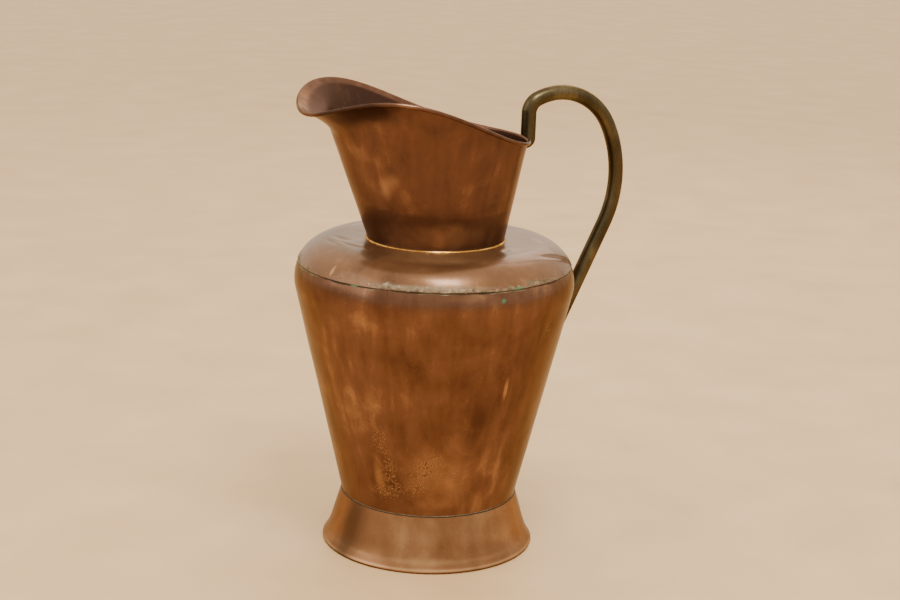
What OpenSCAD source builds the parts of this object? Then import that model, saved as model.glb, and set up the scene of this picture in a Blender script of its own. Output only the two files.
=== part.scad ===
// Large copper ewer: a flared foot, a tapering body with a rounded shoulder, a funnel neck with a
// turned-out pouring lip and wired rim, and one tall brass tube handle riveted to neck and body.
// All sizes are in millimetres. +Z is up and the vessel's axis. The origin is the centre of the foot's
// standing ring. The spout points along -X and the handle stands out along +X.

/* [Sheet] */
// Thickness of the copper sheet
sheet_t = 1.0; // [0.8:0.1:1.6]
// Radius of the iron wire inside the foot's hem and the rim
wire_r = 1.6; // [1.2:0.1:2.2]
// Gap left between two sheets that lap, and round a wire
lap_gap = 0.1; // [0.05:0.05:0.2]

/* [Foot] */
// Radius of the foot, over its rolled hem
foot_r = 147; // [135:1:170]
// Height of the joint between foot and body
joint_z = 72; // [60:1:95]
// Height at which the foot's wall starts to flare outwards
flare_z = 30; // [22:1:36]
// Radius of the foot's wall where the flare starts
flare_r = 134.5; // [129:0.5:137]
// Slope of the flare where it runs into the hem, from upright
flare_angle = 36; // [30:1:45]
// Height over which the body's lower end reaches down inside the foot
body_tail = 10; // [6:1:14]

/* [Body] */
// Radius of the body where the foot is joined to it
joint_r = 121; // [110:1:127]
// Widest radius of the body
body_r = 191; // [165:1:230]
// Height of the flat top of the shoulder
shoulder_z = 430; // [360:1:520]
// Radius of the shoulder's rounding, in profile
shoulder_round = 56; // [45:1:66]
// Angle above the widest line at which the shoulder laps over the body
seam_angle = 26; // [15:1:40]
// How far the body reaches up inside the shoulder, as an angle of the rounding
lap_angle = 8; // [5:1:12]

/* [Base] */
// Height of the base disc's upturned flange
flange_h = 9; // [6:1:14]
// Height of the base disc above the body's lower edge
base_lift = 2; // [1:0.5:5]

/* [Neck] */
// Radius of the neck where it stands on the shoulder
neck_r = 94; // [80:1:102]
// Height of the straight band at the neck's foot
band_h = 4; // [3:1:8]
// Widening of the neck for each millimetre of height
neck_open = 0.275; // [0.2:0.005:0.35]
// Lean of the neck towards the spout for each millimetre of height
neck_lean = 0.09; // [0:0.005:0.12]
// Height of the shoulder's collar that stands up inside the neck
collar_h = 8; // [5:1:12]

/* [Rim] */
// Height of the rim at the back, above the shoulder
rim_back_h = 138; // [110:1:165]
// Rise of the rim from the back towards the spout
rim_rise = 122; // [90:1:140]
// How late the rise comes, higher being nearer to the spout
rim_lateness = 1.8; // [1.2:0.1:2.4]
// How far the rim dips at the spout's tip
lip_dip = 81; // [50:1:95]
// Angle over which the dip spreads to each side of the spout
lip_dip_angle = 41; // [30:1:50]
// How far the lip is turned out at the spout's tip
lip_out = 32; // [15:1:36]
// Angle over which the turned-out lip spreads to each side
lip_out_angle = 48; // [35:1:55]
// Height of neck wall that bends outwards into the lip
lip_depth = 34; // [26:1:45]

/* [Handle] */
// Radius of the handle's tube
tube_r = 10.25; // [8:0.25:11.5]
// Wall of the handle's tube
tube_t = 1.2; // [0.8:0.1:2]
// Radius of the crown bend, along the tube's middle
crown_r = 83.5; // [75:0.5:90]
// Radius of the long bend behind the grip, along the tube's middle
back_r = 160; // [140:1:175]
// Height of the crown bend's centre above the shoulder
crown_h = 109.5; // [95:0.5:120]
// Angle at which the crown bend hands over to the long bend
crown_end = 27; // [20:1:32]
// Lean of the straight lower leg from upright
leg_lean = 25.4; // [23:0.2:27]
// Radius of the short bend that brings the tube down to the neck
drop_r = 22; // [20:1:26]
// Angle at which the crown bend hands over to the short bend
drop_start = 115; // [110:1:118]
// Thickness of the flattened tube ends
tongue_t = 2.6; // [2.2:0.1:3.4]
// Width of the flattened tube ends
tongue_w = 30; // [26:1:32]
// Length of the flattened ends from the end of the bend to the rounded tip's centre
tongue_l = 24; // [20:1:30]

/* [Rivets] */
// Radius of the rivet shanks
rivet_r = 2.4; // [2:0.1:3]
// Radius of the rivet heads
head_r = 5.5; // [4.5:0.1:6.5]
// Height of the rivet heads
head_h = 2.4; // [1.8:0.1:3]
// Spacing of the two rivets in each flattened end
rivet_gap = 18; // [16:1:20]
// Radius of the washers inside the vessel
burr_r = 6; // [5:0.1:7]
// Thickness of the washers
burr_t = 1.2; // [0.8:0.1:1.6]

/* [Solder] */
// Height of the solder rings at foot and neck
solder_h = 2.4; // [1.6:0.1:3.2]
// How far the solder rings stand out
solder_w = 1.6; // [1.0:0.1:2.4]
// Angle of the rounding that the shoulder's solder covers below its lap
solder_angle = 2.4; // [1.5:0.1:3.5]
// Width of the brazed seams up the body and the foot
braze_w = 3; // [2:0.5:4]
// Turn of the brazed seams round the vessel, from the handle
seam_turn = 25; // [15:1:60]

/* [Hidden] */

$fn = 96;
// Larger than any part, for masks and cuts
big = 1000;
// A cut passes this far beyond the face that it leaves
over = 1;
// Depth by which two shapes of one piece run into each other
bite = 0.2;

copper = "#8a4f22";
bright_copper = "#a5683a";
brass = "#75643a";
tin = "#9a9484";
iron = "#4a443e";

// --- Rolled edges: the sheet goes once round a wire ---
channel_r = wire_r + lap_gap;
bead_r = channel_r + sheet_t;
// Depth worn off the hem where it stands
hem_wear = 0.25;
hem_x = foot_r - bead_r;
hem_z = bead_r - hem_wear;

// --- Foot ---
// Inner radius of the foot's wall at its top, where it closes on the body
foot_top_r = joint_r + lap_gap;
foot_tilt = atan2(flare_r - sheet_t - foot_top_r, joint_z - flare_z);
// The flare's outside ends tangent to the hem's bead
flare_end = [hem_x + bead_r * cos(flare_angle), hem_z + bead_r * sin(flare_angle)];
// Where the wall's line and the flare's last line cross
flare_back = (flare_end[0] - flare_r - tan(foot_tilt) * (flare_z - flare_end[1]))
    / (sin(flare_angle) - tan(foot_tilt) * cos(flare_angle));
flare_turn = flare_end + flare_back * [-sin(flare_angle), cos(flare_angle)];
flare_steps = 8;
function flare_point(t) = (1 - t) * (1 - t) * [flare_r, flare_z]
    + 2 * t * (1 - t) * flare_turn + t * t * flare_end;
function flare_dir(t) = (1 - t) * (flare_turn - [flare_r, flare_z]) + t * (flare_end - flare_turn);
function flare_inside(t) = flare_point(t)
    + sheet_t * [flare_dir(t)[1], -flare_dir(t)[0]] / norm(flare_dir(t));
// How far the sheet turns round the hem's wire, from the flare's end
hem_turn = 282;
hem_steps = 40;
function hem_point(r, angle) = [hem_x + r * cos(angle), max(0, hem_z + r * sin(angle))];

// --- Body profile: a cone that runs tangent into the shoulder's rounding ---
body_round = shoulder_round - sheet_t - lap_gap;
round_x = body_r - body_round;
round_z = shoulder_z - shoulder_round;
round_dx = round_x - joint_r;
round_dz = round_z - joint_z;
taper = atan2(round_dx, round_dz) + asin(body_round / norm([round_dx, round_dz]));
body_low = joint_z - body_tail;
// Share of the lap's step that the shoulder's solder fills
solder_fill = 0.8;
function body_out(z) = joint_r + tan(taper) * (z - joint_z);
tangent_x = round_x + body_round * cos(taper);
tangent_z = round_z - body_round * sin(taper);

// --- Base ---
base_z = body_low + base_lift;
function body_in(z) = body_out(z) - sheet_t;

// --- Neck and rim, as functions of the angle a from the spout, -180 to 180 ---
neck_z = shoulder_z;
collar_r = neck_r - sheet_t - lap_gap;
sections = 96;
wall_rows = 5;
lip_rows = 5;
curl_steps = 9;
// Share of a full turn that the sheet goes round the rim wire
curl_turn = 275;
function side(a) = a > 180 ? a - 360 : a;
function rim_z(a) = neck_z + rim_back_h - bead_r
    + rim_rise * pow((1 + cos(a)) / 2, rim_lateness)
    - lip_dip * exp(-pow(side(a) / lip_dip_angle, 2));
function lip(a) = lip_out * exp(-pow(side(a) / lip_out_angle, 2));
function lip_share(a, z) = max(0, 1 - (rim_z(a) - z) / lip_depth);
function neck_slope(a) = neck_open + neck_lean * cos(a);
function neck_out(a, z) = neck_r + max(0, z - neck_z - band_h) * neck_slope(a)
    + lip(a) * pow(lip_share(a, z), 2);
function rim_tilt(a) = atan(neck_slope(a) + 2 * lip(a) / lip_depth);
// Heights of the wall's rows, close together where the lip bends
function row_z(a, i) = i == 0 ? neck_z
    : i <= wall_rows ? neck_z + band_h
        + (rim_z(a) - lip_depth - neck_z - band_h) * (i - 1) / (wall_rows - 1)
    : rim_z(a) - lip_depth * (1 - (i - wall_rows) / lip_rows);
rows = wall_rows + lip_rows;
// Middle of the rim wire, in the section at angle a, as [radius, height]
function wire_at(a) = [neck_out(a, rim_z(a)), rim_z(a)]
    + channel_r * [cos(rim_tilt(a)), -sin(rim_tilt(a))];
function round_point(middle, r, angle) = middle + r * [cos(angle), sin(angle)];
function curl_angle(a, i) = 180 - rim_tilt(a) - curl_turn * i / curl_steps;
function neck_section(a) = concat(
    [for (i = [0 : rows - 1]) [neck_out(a, row_z(a, i)), row_z(a, i)]],
    [for (i = [0 : curl_steps]) round_point(wire_at(a), channel_r, curl_angle(a, i))],
    [for (i = [curl_steps : -1 : 0]) round_point(wire_at(a), bead_r, curl_angle(a, i))],
    [for (i = [rows - 1 : -1 : 0]) [neck_out(a, row_z(a, i)) - sheet_t, row_z(a, i)]]
);
wire_sides = 10;
function wire_section(a) =
    [for (i = [0 : wire_sides - 1]) round_point(wire_at(a), wire_r, -360 * i / wire_sides)];

// --- Handle, in the plane y = 0 ---
crown_z = shoulder_z + crown_h;
// The crown bend stands where the tube comes down just outside the rim's bead
rim_back_x = wire_at(180)[0] + bead_r;
handle_gap = 0.5;
drop_x = rim_back_x + handle_gap + tube_r + drop_r;
crown_x = drop_x - (crown_r - drop_r) * cos(drop_start);
drop_z = crown_z + (crown_r - drop_r) * sin(drop_start);
back_x = crown_x + (crown_r - back_r) * cos(crown_end);
back_z = crown_z + (crown_r - back_r) * sin(crown_end);
leg_top = [back_x + back_r * cos(leg_lean), back_z - back_r * sin(leg_lean)];
leg_dir = [-sin(leg_lean), -cos(leg_lean)];
// The leg is straight until its middle is this far out from the body, measured level
leg_clear = 3;
leg_off = tube_r + leg_clear;
leg_l = (leg_top[0] - body_out(leg_top[1]) - leg_off) / (sin(leg_lean) - tan(taper) * cos(leg_lean));
leg_end = leg_top + leg_l * leg_dir;
// Height over which the round tube is hammered flat
flat_l = 22;
drop_end_z = wire_at(180)[1] - bead_r - over;
lower_tongue_z = leg_end[1] - flat_l;
// The upper flat starts before the tube has come down by its whole flattening height
drop_share = 0.75;
upper_tongue_z = drop_end_z - flat_l * drop_share;
back_slope = neck_slope(180);
function neck_back(z) = neck_r + (z - neck_z - band_h) * back_slope;
tongue_gap = 0.15;

// The tube is skinned over rings. Each stop on its way is [middle, heading, flatness, width share].
ring_sides = 20;
bend_step = 8;
function arc_stops(centre, r, a0, a1) = let (n = ceil((a0 - a1) / bend_step))
    [for (i = [0 : n]) let (a = a0 + (a1 - a0) * i / n)
        [centre + r * [cos(a), sin(a)], [sin(a), -cos(a)], 0, 1]];
function bezier(p, t) = pow(1 - t, 3) * p[0] + 3 * t * pow(1 - t, 2) * p[1]
    + 3 * t * t * (1 - t) * p[2] + pow(t, 3) * p[3];
function bezier_dir(p, t) = pow(1 - t, 2) * (p[1] - p[0]) + 2 * t * (1 - t) * (p[2] - p[1])
    + t * t * (p[3] - p[2]);
function eased(t) = t * t * (3 - 2 * t);
flat_steps = 6;
// From round at p[0] to flat at p[3], without the first and last stop
function flat_stops(p) = [for (i = [1 : flat_steps - 1]) let (t = i / flat_steps)
    [bezier(p, t), bezier_dir(p, t), eased(t), 1]];
// Down a wall from its point at the flat end's top, to the rounded tip
tip_shares = [0, 0.45, 0.7, 0.88, 0.97, 1];
// The tip is blunted by this much, and keeps at least this share of its width
tip_blunt = 1;
tip_width = 0.25;
function tongue_stops(top, dir) = concat(
    [[top, dir, 1, 1]],
    [for (s = tip_shares) [top + dir * (tongue_l + s * (tongue_w / 2 - tip_blunt)), dir, 1,
        max(tip_width, sqrt(1 - s * s))]]
);
// Middle of a flat end at its top, where the wall outside has radius r0 and leans by the angle lean
function tongue_top(r0, z, lean) = [r0, z] + (tongue_gap + tongue_t / 2) * [cos(lean), -sin(lean)];
back_lean = atan(back_slope);
upper_dir = [-sin(back_lean), -cos(back_lean)];
lower_dir = [-sin(taper), -cos(taper)];
upper_top = tongue_top(neck_back(upper_tongue_z), upper_tongue_z, back_lean);
lower_top = tongue_top(body_out(lower_tongue_z), lower_tongue_z, taper);
drop_end = [drop_x - drop_r, drop_end_z];
// Share of the flattening height over which the tube still follows its own line
hold = 0.33;
upper_flat = [drop_end, drop_end + [0, -flat_l * hold], upper_top - upper_dir * flat_l * hold, upper_top];
lower_flat = [leg_end, leg_end + leg_dir * flat_l * hold, lower_top - lower_dir * flat_l * hold, lower_top];
function backwards(stops) = [for (i = [len(stops) - 1 : -1 : 0])
    [stops[i][0], -stops[i][1], stops[i][2], stops[i][3]]];
stops = concat(
    backwards(concat([[drop_end, [0, -1], 0, 1]], flat_stops(upper_flat), tongue_stops(upper_top, upper_dir))),
    arc_stops([drop_x, drop_z], drop_r, 180, drop_start + bend_step),
    arc_stops([crown_x, crown_z], crown_r, drop_start, crown_end + bend_step / 2),
    arc_stops([back_x, back_z], back_r, crown_end, -leg_lean),
    [[leg_top + leg_dir * leg_l / 2, leg_dir, 0, 1], [leg_end, leg_dir, 0, 1]],
    flat_stops(lower_flat),
    tongue_stops(lower_top, lower_dir)
);
function squared(x, power) = sign(x) * pow(abs(x), power);
// One loop of a ring: a round or flattened oval, less t all round
// A flat end's section is squarer than an ellipse by this much
squareness = 0.4;
function loop_at(stop, t) = let (
        side_r = (tube_r + (tongue_w / 2 - tube_r) * stop[2]) * stop[3] - t,
        high_r = tube_r + (tongue_t / 2 - tube_r) * stop[2] - t,
        power = 1 - squareness * stop[2],
        up = [-stop[1][1], stop[1][0]] / norm(stop[1]))
    [for (j = [0 : ring_sides - 1]) let (a = 360 * j / ring_sides,
            w = side_r * squared(cos(a), power), h = high_r * squared(sin(a), power))
        [stop[0][0] + up[0] * h, w, stop[0][1] + up[1] * h]];

// Half length of the cut for a rivet's shank
rivet_reach = 6;
// --- Rivets: the first is this far below the top of its flat end ---
rivet_down = 5;
burr_gap = 0.05;
// Slack under the head and over the washer
head_slack = 0.1;
tail_slack = 0.1;
// Height of the hammered inner end, and its widening at the tip and at the washer
tail_h = 1.2;
tail_tip = 0.6;
tail_wide = 1.4;

// ---------------------------------------------------------------------------------------------
// Profiles and helpers
// ---------------------------------------------------------------------------------------------

// Turns a profile of [radius, height] round the vessel's axis
module turned() {
    rotate_extrude() children();
}

// A band between two radii round a centre, from angle a0 to angle a1 (less than 180 apart)
module arc_band(centre, r_in, r_out, a0, a1) {
    translate(centre) intersection() {
        difference() {
            circle(r_out);
            circle(r_in);
        }
        polygon([[0, 0], big * [cos(a0), sin(a0)], big * [cos((a0 + a1) / 2), sin((a0 + a1) / 2)],
            big * [cos(a1), sin(a1)]]);
    }
}

// A wall between two heights, whose outside goes from radius r0 to r1
module wall(z0, r0, z1, r1, t) {
    polygon([[r0 - t, z0], [r0, z0], [r1, z1], [r1 - t, z1]]);
}

// A closed ring skinned over one profile for each angle round the axis
module skinned(profiles) {
    n = len(profiles);
    m = len(profiles[0]);
    points = [for (i = [0 : n - 1]) let (w = 180 + 360 * i / n)
        for (p = profiles[i]) [p[0] * cos(w), p[0] * sin(w), p[1]]];
    faces = [for (i = [0 : n - 1], j = [0 : m - 1])
        let (a = i * m + j, b = i * m + (j + 1) % m,
            c = ((i + 1) % n) * m + (j + 1) % m, d = ((i + 1) % n) * m + j)
        each [[a, b, c], [a, c, d]]];
    polyhedron(points, faces, convexity = 8);
}

// A tube skinned over rings of points, open at both ends. Each ring is [outer loop, inner loop].
module swept_tube(rings) {
    n = len(rings);
    m = len(rings[0][0]);
    points = [for (ring = rings, loop = ring, p = loop) p];
    function at(i, k, j) = (i * 2 + k) * m + j % m;
    faces = concat(
        [for (i = [0 : n - 2], j = [0 : m - 1])
            each [[at(i, 0, j), at(i, 0, j + 1), at(i + 1, 0, j + 1)],
                [at(i, 0, j), at(i + 1, 0, j + 1), at(i + 1, 0, j)],
                [at(i, 1, j), at(i + 1, 1, j + 1), at(i, 1, j + 1)],
                [at(i, 1, j), at(i + 1, 1, j), at(i + 1, 1, j + 1)]]],
        [for (j = [0 : m - 1])
            each [[at(0, 0, j), at(0, 1, j), at(0, 1, j + 1)],
                [at(0, 0, j), at(0, 1, j + 1), at(0, 0, j + 1)],
                [at(n - 1, 0, j), at(n - 1, 1, j + 1), at(n - 1, 1, j)],
                [at(n - 1, 0, j), at(n - 1, 0, j + 1), at(n - 1, 1, j + 1)]]]
    );
    polyhedron(points, faces, convexity = 8);
}

// The mask for a seam of the given width, from z = 0 up
module slit(w) {
    rotate([0, 0, seam_turn]) translate([0, -w / 2, 0]) cube([big, w, big]);
}

// ---------------------------------------------------------------------------------------------
// Foot
// ---------------------------------------------------------------------------------------------

// The foot's wall, its flare and the hem. The hem turns inwards round its wire, and its edge stops just
// short of the wall. Where it stands, the hem is worn flat.
module foot_profile() {
    polygon(concat(
        [[foot_top_r + sheet_t, joint_z]],
        [for (i = [0 : flare_steps]) flare_point(i / flare_steps)],
        [for (i = [1 : hem_steps]) hem_point(bead_r, flare_angle - hem_turn * i / hem_steps)],
        [for (i = [hem_steps : -1 : 1]) hem_point(channel_r, flare_angle - hem_turn * i / hem_steps)],
        [for (i = [flare_steps : -1 : 0]) flare_inside(i / flare_steps)],
        [[foot_top_r, joint_z]]
    ));
}

module foot_skirt() {
    color(bright_copper) difference() {
        turned() foot_profile();
        translate([0, 0, flare_z]) slit(braze_w);
    }
}

module foot_seam_braze() {
    color(brass) intersection() {
        turned() wall(flare_z, flare_r, joint_z, foot_top_r + sheet_t, sheet_t);
        translate([0, 0, flare_z]) slit(braze_w);
    }
}

module foot_wire() {
    color(iron) turned() translate([hem_x, hem_z]) circle(wire_r);
}

module foot_solder() {
    color(tin) turned() polygon([
        [body_out(joint_z), joint_z],
        [foot_top_r + sheet_t, joint_z],
        [body_out(joint_z + solder_h), joint_z + solder_h]
    ]);
}

// ---------------------------------------------------------------------------------------------
// Base
// ---------------------------------------------------------------------------------------------

module base_disc() {
    color(copper) turned() {
        square_r = body_in(base_z) - lap_gap;
        translate([0, base_z]) square([square_r, sheet_t]);
        wall(base_z, square_r, base_z + flange_h, body_in(base_z + flange_h) - lap_gap, sheet_t);
    }
}

module base_solder() {
    top = base_z + flange_h;
    color(tin) turned() polygon([
        [body_in(top) - sheet_t - lap_gap, top],
        [body_in(top), top],
        [body_in(top + solder_h), top + solder_h]
    ]);
}

// ---------------------------------------------------------------------------------------------
// Body and shoulder
// ---------------------------------------------------------------------------------------------

module body_profile() {
    wall(body_low, body_out(body_low), tangent_z, tangent_x, sheet_t);
    arc_band([round_x, round_z], body_round - sheet_t, body_round, -taper, seam_angle + lap_angle);
}

module body_shell() {
    color(copper) difference() {
        turned() body_profile();
        translate([0, 0, body_low - over]) slit(braze_w);
        lower_rivet_places() rivet_hole();
    }
}

module body_seam_braze() {
    color(brass) intersection() {
        turned() body_profile();
        translate([0, 0, body_low - over]) slit(braze_w);
    }
}

module shoulder() {
    color(copper) turned() {
        arc_band([round_x, round_z], shoulder_round - sheet_t, shoulder_round, seam_angle, 90);
        translate([collar_r - sheet_t, shoulder_z - sheet_t])
            square([round_x - collar_r + sheet_t + bite, sheet_t]);
        translate([collar_r - sheet_t, shoulder_z - sheet_t]) square([sheet_t, sheet_t + collar_h]);
    }
}

module shoulder_solder() {
    color(tin) turned() arc_band([round_x, round_z], body_round, body_round + sheet_t * solder_fill,
        seam_angle - solder_angle, seam_angle);
}

// ---------------------------------------------------------------------------------------------
// Neck and rim
// ---------------------------------------------------------------------------------------------

module neck_funnel() {
    color(copper) difference() {
        skinned([for (i = [0 : sections - 1]) neck_section(360 * i / sections)]);
        upper_rivet_places() rivet_hole();
    }
}

module rim_wire() {
    color(iron) skinned([for (i = [0 : sections - 1]) wire_section(360 * i / sections)]);
}

module neck_solder() {
    color(brass) turned() polygon([
        [neck_r, neck_z],
        [neck_r + solder_w, neck_z],
        [neck_r, neck_z + solder_h]
    ]);
}

// ---------------------------------------------------------------------------------------------
// Handle
// ---------------------------------------------------------------------------------------------

module handle_tube() {
    color(brass) difference() {
        swept_tube([for (stop = stops) [loop_at(stop, 0), loop_at(stop, tube_t)]]);
        upper_rivet_places() rivet_hole();
        lower_rivet_places() rivet_hole();
    }
}

// ---------------------------------------------------------------------------------------------
// Rivets
// ---------------------------------------------------------------------------------------------

// Puts its children at each rivet of one flat end. There, z = 0 is the vessel wall's outside and +Z
// points out of the wall, square to it.
module rivet_places(top, r0, slope) {
    for (i = [0, 1]) {
        down = rivet_down + i * rivet_gap;
        translate([r0 - slope * down, 0, top - down]) rotate([0, 90 + atan(slope), 0]) children();
    }
}

module upper_rivet_places() {
    rivet_places(upper_tongue_z, neck_back(upper_tongue_z), back_slope) children();
}

module lower_rivet_places() {
    rivet_places(lower_tongue_z, body_out(lower_tongue_z), tan(taper)) children();
}

module rivet_hole() {
    translate([0, 0, -rivet_reach]) cylinder(r = rivet_r, h = 2 * rivet_reach);
}

// A rivet: a domed head outside, a shank, and the inner end hammered down over the washer
module rivet() {
    outside = tongue_gap + tongue_t + head_slack;
    inside = -sheet_t - burr_gap - burr_t - tail_slack - burr_gap;
    dome_r = (head_r * head_r + head_h * head_h) / (2 * head_h);
    translate([0, 0, inside - tail_h]) cylinder(r = rivet_r, h = outside - inside + tail_h + bite);
    translate([0, 0, outside]) intersection() {
        translate([0, 0, head_h - dome_r]) sphere(dome_r);
        cylinder(r = head_r + over, h = head_h + over);
    }
    translate([0, 0, inside - tail_h]) cylinder(r1 = rivet_r + tail_tip, r2 = rivet_r + tail_wide, h = tail_h);
}

// The washer that the rivet's inner end is hammered over
module burr() {
    translate([0, 0, -sheet_t - burr_gap - burr_t - tail_slack]) difference() {
        cylinder(r = burr_r, h = burr_t);
        translate([0, 0, -over]) cylinder(r = rivet_r, h = burr_t + 2 * over);
    }
}

module upper_rivets() {
    color(copper) upper_rivet_places() rivet();
}

module lower_rivets() {
    color(copper) lower_rivet_places() rivet();
}

module upper_burrs() {
    color(bright_copper) upper_rivet_places() burr();
}

module lower_burrs() {
    color(bright_copper) lower_rivet_places() burr();
}

// ---------------------------------------------------------------------------------------------
// Assembly
// ---------------------------------------------------------------------------------------------

foot_skirt();
foot_wire();
foot_seam_braze();
foot_solder();
base_disc();
base_solder();
body_shell();
body_seam_braze();
shoulder();
shoulder_solder();
neck_funnel();
neck_solder();
rim_wire();
handle_tube();
upper_rivets();
lower_rivets();
upper_burrs();
lower_burrs();
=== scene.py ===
"""Looks of a large old copper ewer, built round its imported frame.

The ewer is raised and folded from sheet copper: a flared foot, a tapering body, a rounded shoulder that
laps over the body, and a funnel neck with a turned-out lip. A bent brass tube, riveted on, is its handle.
Sizes are in millimetres until a mesh is made. The vessel's axis is Z, with the spout along -X and the
handle on +X. Angles round it are in degrees from the handle.
"""

from __future__ import annotations

import logging
import math
from dataclasses import dataclass, field
from enum import Enum
from typing import Any, Callable, Iterable, NamedTuple, Sequence

import bpy
import numpy as np
from mathutils import Matrix, Vector

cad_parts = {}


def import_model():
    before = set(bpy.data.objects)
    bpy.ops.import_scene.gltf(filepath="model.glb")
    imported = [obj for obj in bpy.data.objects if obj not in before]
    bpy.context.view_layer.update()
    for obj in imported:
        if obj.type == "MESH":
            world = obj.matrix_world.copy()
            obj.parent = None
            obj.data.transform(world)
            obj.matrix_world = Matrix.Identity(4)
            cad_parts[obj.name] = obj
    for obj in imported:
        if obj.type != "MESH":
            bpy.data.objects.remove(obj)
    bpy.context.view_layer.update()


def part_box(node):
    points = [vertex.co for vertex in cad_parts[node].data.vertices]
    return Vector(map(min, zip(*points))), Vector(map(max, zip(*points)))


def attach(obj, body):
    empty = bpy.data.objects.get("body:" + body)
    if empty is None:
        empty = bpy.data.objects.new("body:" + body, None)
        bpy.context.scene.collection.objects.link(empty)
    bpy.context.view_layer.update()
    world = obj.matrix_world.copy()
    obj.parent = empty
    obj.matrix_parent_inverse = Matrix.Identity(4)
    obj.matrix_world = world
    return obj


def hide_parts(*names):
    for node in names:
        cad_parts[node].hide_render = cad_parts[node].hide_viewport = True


LOG = logging.getLogger("ewer")
MM = 0.001
ALL_ROUND = 9000.0  # half width of a mark that goes all the way round

Point = tuple[float, float]
Point3 = tuple[float, float, float]
Colour = tuple[float, float, float, float]
Outline = list[tuple[float, float, float]]


# --- Nodes, colours and meshes ---------------------------------------------------------------------


def colour(sheet_hex: str) -> Colour:
    """Turns an sRGB hex colour into the linear colour that a shader takes.

    Args:
        sheet_hex: Six hex digits after a hash, such as "#b87333".

    Returns:
        Linear red, green, blue and an alpha of 1.
    """
    channels = [int(sheet_hex[i : i + 2], 16) / 255 for i in (1, 3, 5)]
    linear = [c / 12.92 if c <= 0.04045 else ((c + 0.055) / 1.055) ** 2.4 for c in channels]
    return (linear[0], linear[1], linear[2], 1.0)


def add_node(
    tree: bpy.types.NodeTree,
    kind: str,
    settings: dict[str, Any] | None = None,
    inputs: dict[str | int, Any] | None = None,
    stops: Sequence[tuple[float, Colour]] = (),
) -> bpy.types.Node:
    """Adds a node with its settings, its values and its links.

    Args:
        tree: The shader or geometry tree that gets the node.
        kind: The node's type name.
        settings: Properties of the node itself.
        inputs: For each input, a plain value, another node's socket, or a node whose first output is used.
        stops: A colour ramp's positions and colours.

    Returns:
        The new node.
    """
    node = tree.nodes.new(kind)
    for name, value in (settings or {}).items():
        setattr(node, name, value)
    for name, value in (inputs or {}).items():
        if isinstance(value, bpy.types.Node):
            value = value.outputs[0]
        if isinstance(value, bpy.types.NodeSocket):
            tree.links.new(value, node.inputs[name])
        else:
            node.inputs[name].default_value = value
    if stops:
        ramp = node.color_ramp
        while len(ramp.elements) < len(stops):
            ramp.elements.new(1.0)
        for element, (position, tone) in zip(ramp.elements, stops):
            element.position = position
            element.color = tone
    return node


def fade(
    tree: bpy.types.NodeTree, value: Any, low: float, high: float, start: float = 0.0, end: float = 1.0
) -> bpy.types.Node:
    """Adds a node that goes smoothly from one number to another while a value goes from low to high."""
    return add_node(tree, "ShaderNodeMapRange", {"interpolation_type": "SMOOTHSTEP"}, {
        0: value, 1: low, 2: high, 3: start, 4: end,
    })


def empty_tree(owner: bpy.types.Material | bpy.types.World) -> bpy.types.NodeTree:
    """Gives a material or a world an empty node tree."""
    owner.use_nodes = True
    owner.node_tree.nodes.clear()
    return owner.node_tree


def link_object(name: str, data: bpy.types.ID) -> bpy.types.Object:
    """Puts a mesh, a light or a camera into the scene as an object at the origin."""
    made = bpy.data.objects.new(name, data)
    bpy.context.scene.collection.objects.link(made)
    return made


def mesh_from(name: str, points: np.ndarray, faces: Iterable[Sequence[int]]) -> bpy.types.Mesh:
    """Makes a mesh from points in millimetres, with its faces pointing outwards.

    Args:
        name: The mesh's name.
        points: An array of n by 3 coordinates, in millimetres.
        faces: Corner indices of each face.

    Returns:
        The mesh, in metres.
    """
    mesh = bpy.data.meshes.new(name)
    mesh.from_pydata((points * MM).tolist(), [], [tuple(face) for face in faces])
    mesh.validate()
    face_outwards(mesh)
    return mesh


def face_outwards(mesh: bpy.types.Mesh) -> None:
    """Flips a closed mesh whose faces point inwards, by the sign of its volume."""
    mesh.calc_loop_triangles()
    corners = np.zeros(len(mesh.loop_triangles) * 3, np.int32)
    mesh.loop_triangles.foreach_get("vertices", corners)
    where = points_of(mesh)[corners.reshape(-1, 3)]
    volume = np.einsum("ij,ij->i", where[:, 0], np.cross(where[:, 1], where[:, 2])).sum()
    if volume < 0:
        mesh.flip_normals()


def points_of(mesh: bpy.types.Mesh) -> np.ndarray:
    """Reads a mesh's points, as an array of n by 3, in metres."""
    flat = np.zeros(len(mesh.vertices) * 3, np.float32)
    mesh.vertices.foreach_get("co", flat)
    return flat.reshape(-1, 3).astype(float)


def move_points(mesh: bpy.types.Mesh, where: np.ndarray) -> None:
    """Moves a mesh's points to new places, in metres."""
    mesh.vertices.foreach_set("co", where.astype(np.float32).ravel())
    mesh.update()


def store(mesh: bpy.types.Mesh, name: str, values: np.ndarray) -> None:
    """Stores one number for each point of a mesh, under a name that a tree or a material reads."""
    attribute = mesh.attributes.get(name) or mesh.attributes.new(name, "FLOAT", "POINT")
    attribute.data.foreach_set("value", np.asarray(values, np.float32))


def read(mesh: bpy.types.Mesh, name: str) -> np.ndarray:
    """Reads the numbers stored under a name, or ones where there are none."""
    values = np.ones(len(mesh.vertices), np.float32)
    attribute = mesh.attributes.get(name)
    if attribute is not None:
        attribute.data.foreach_get("value", values)
    return values.astype(float)


def loop_faces(loops: int, sides: int, closed: bool = False) -> list[tuple[int, ...]]:
    """Faces that join closed loops of points, each to the next.

    Args:
        loops: How many loops there are.
        sides: How many points each loop has.
        closed: Whether the last loop is joined to the first one too.

    Returns:
        Four corners for each face.
    """
    return [
        (i * sides + j, i * sides + (j + 1) % sides,
         (i + 1) % loops * sides + (j + 1) % sides, (i + 1) % loops * sides + j)
        for i in range(loops if closed else loops - 1)
        for j in range(sides)
    ]


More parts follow.
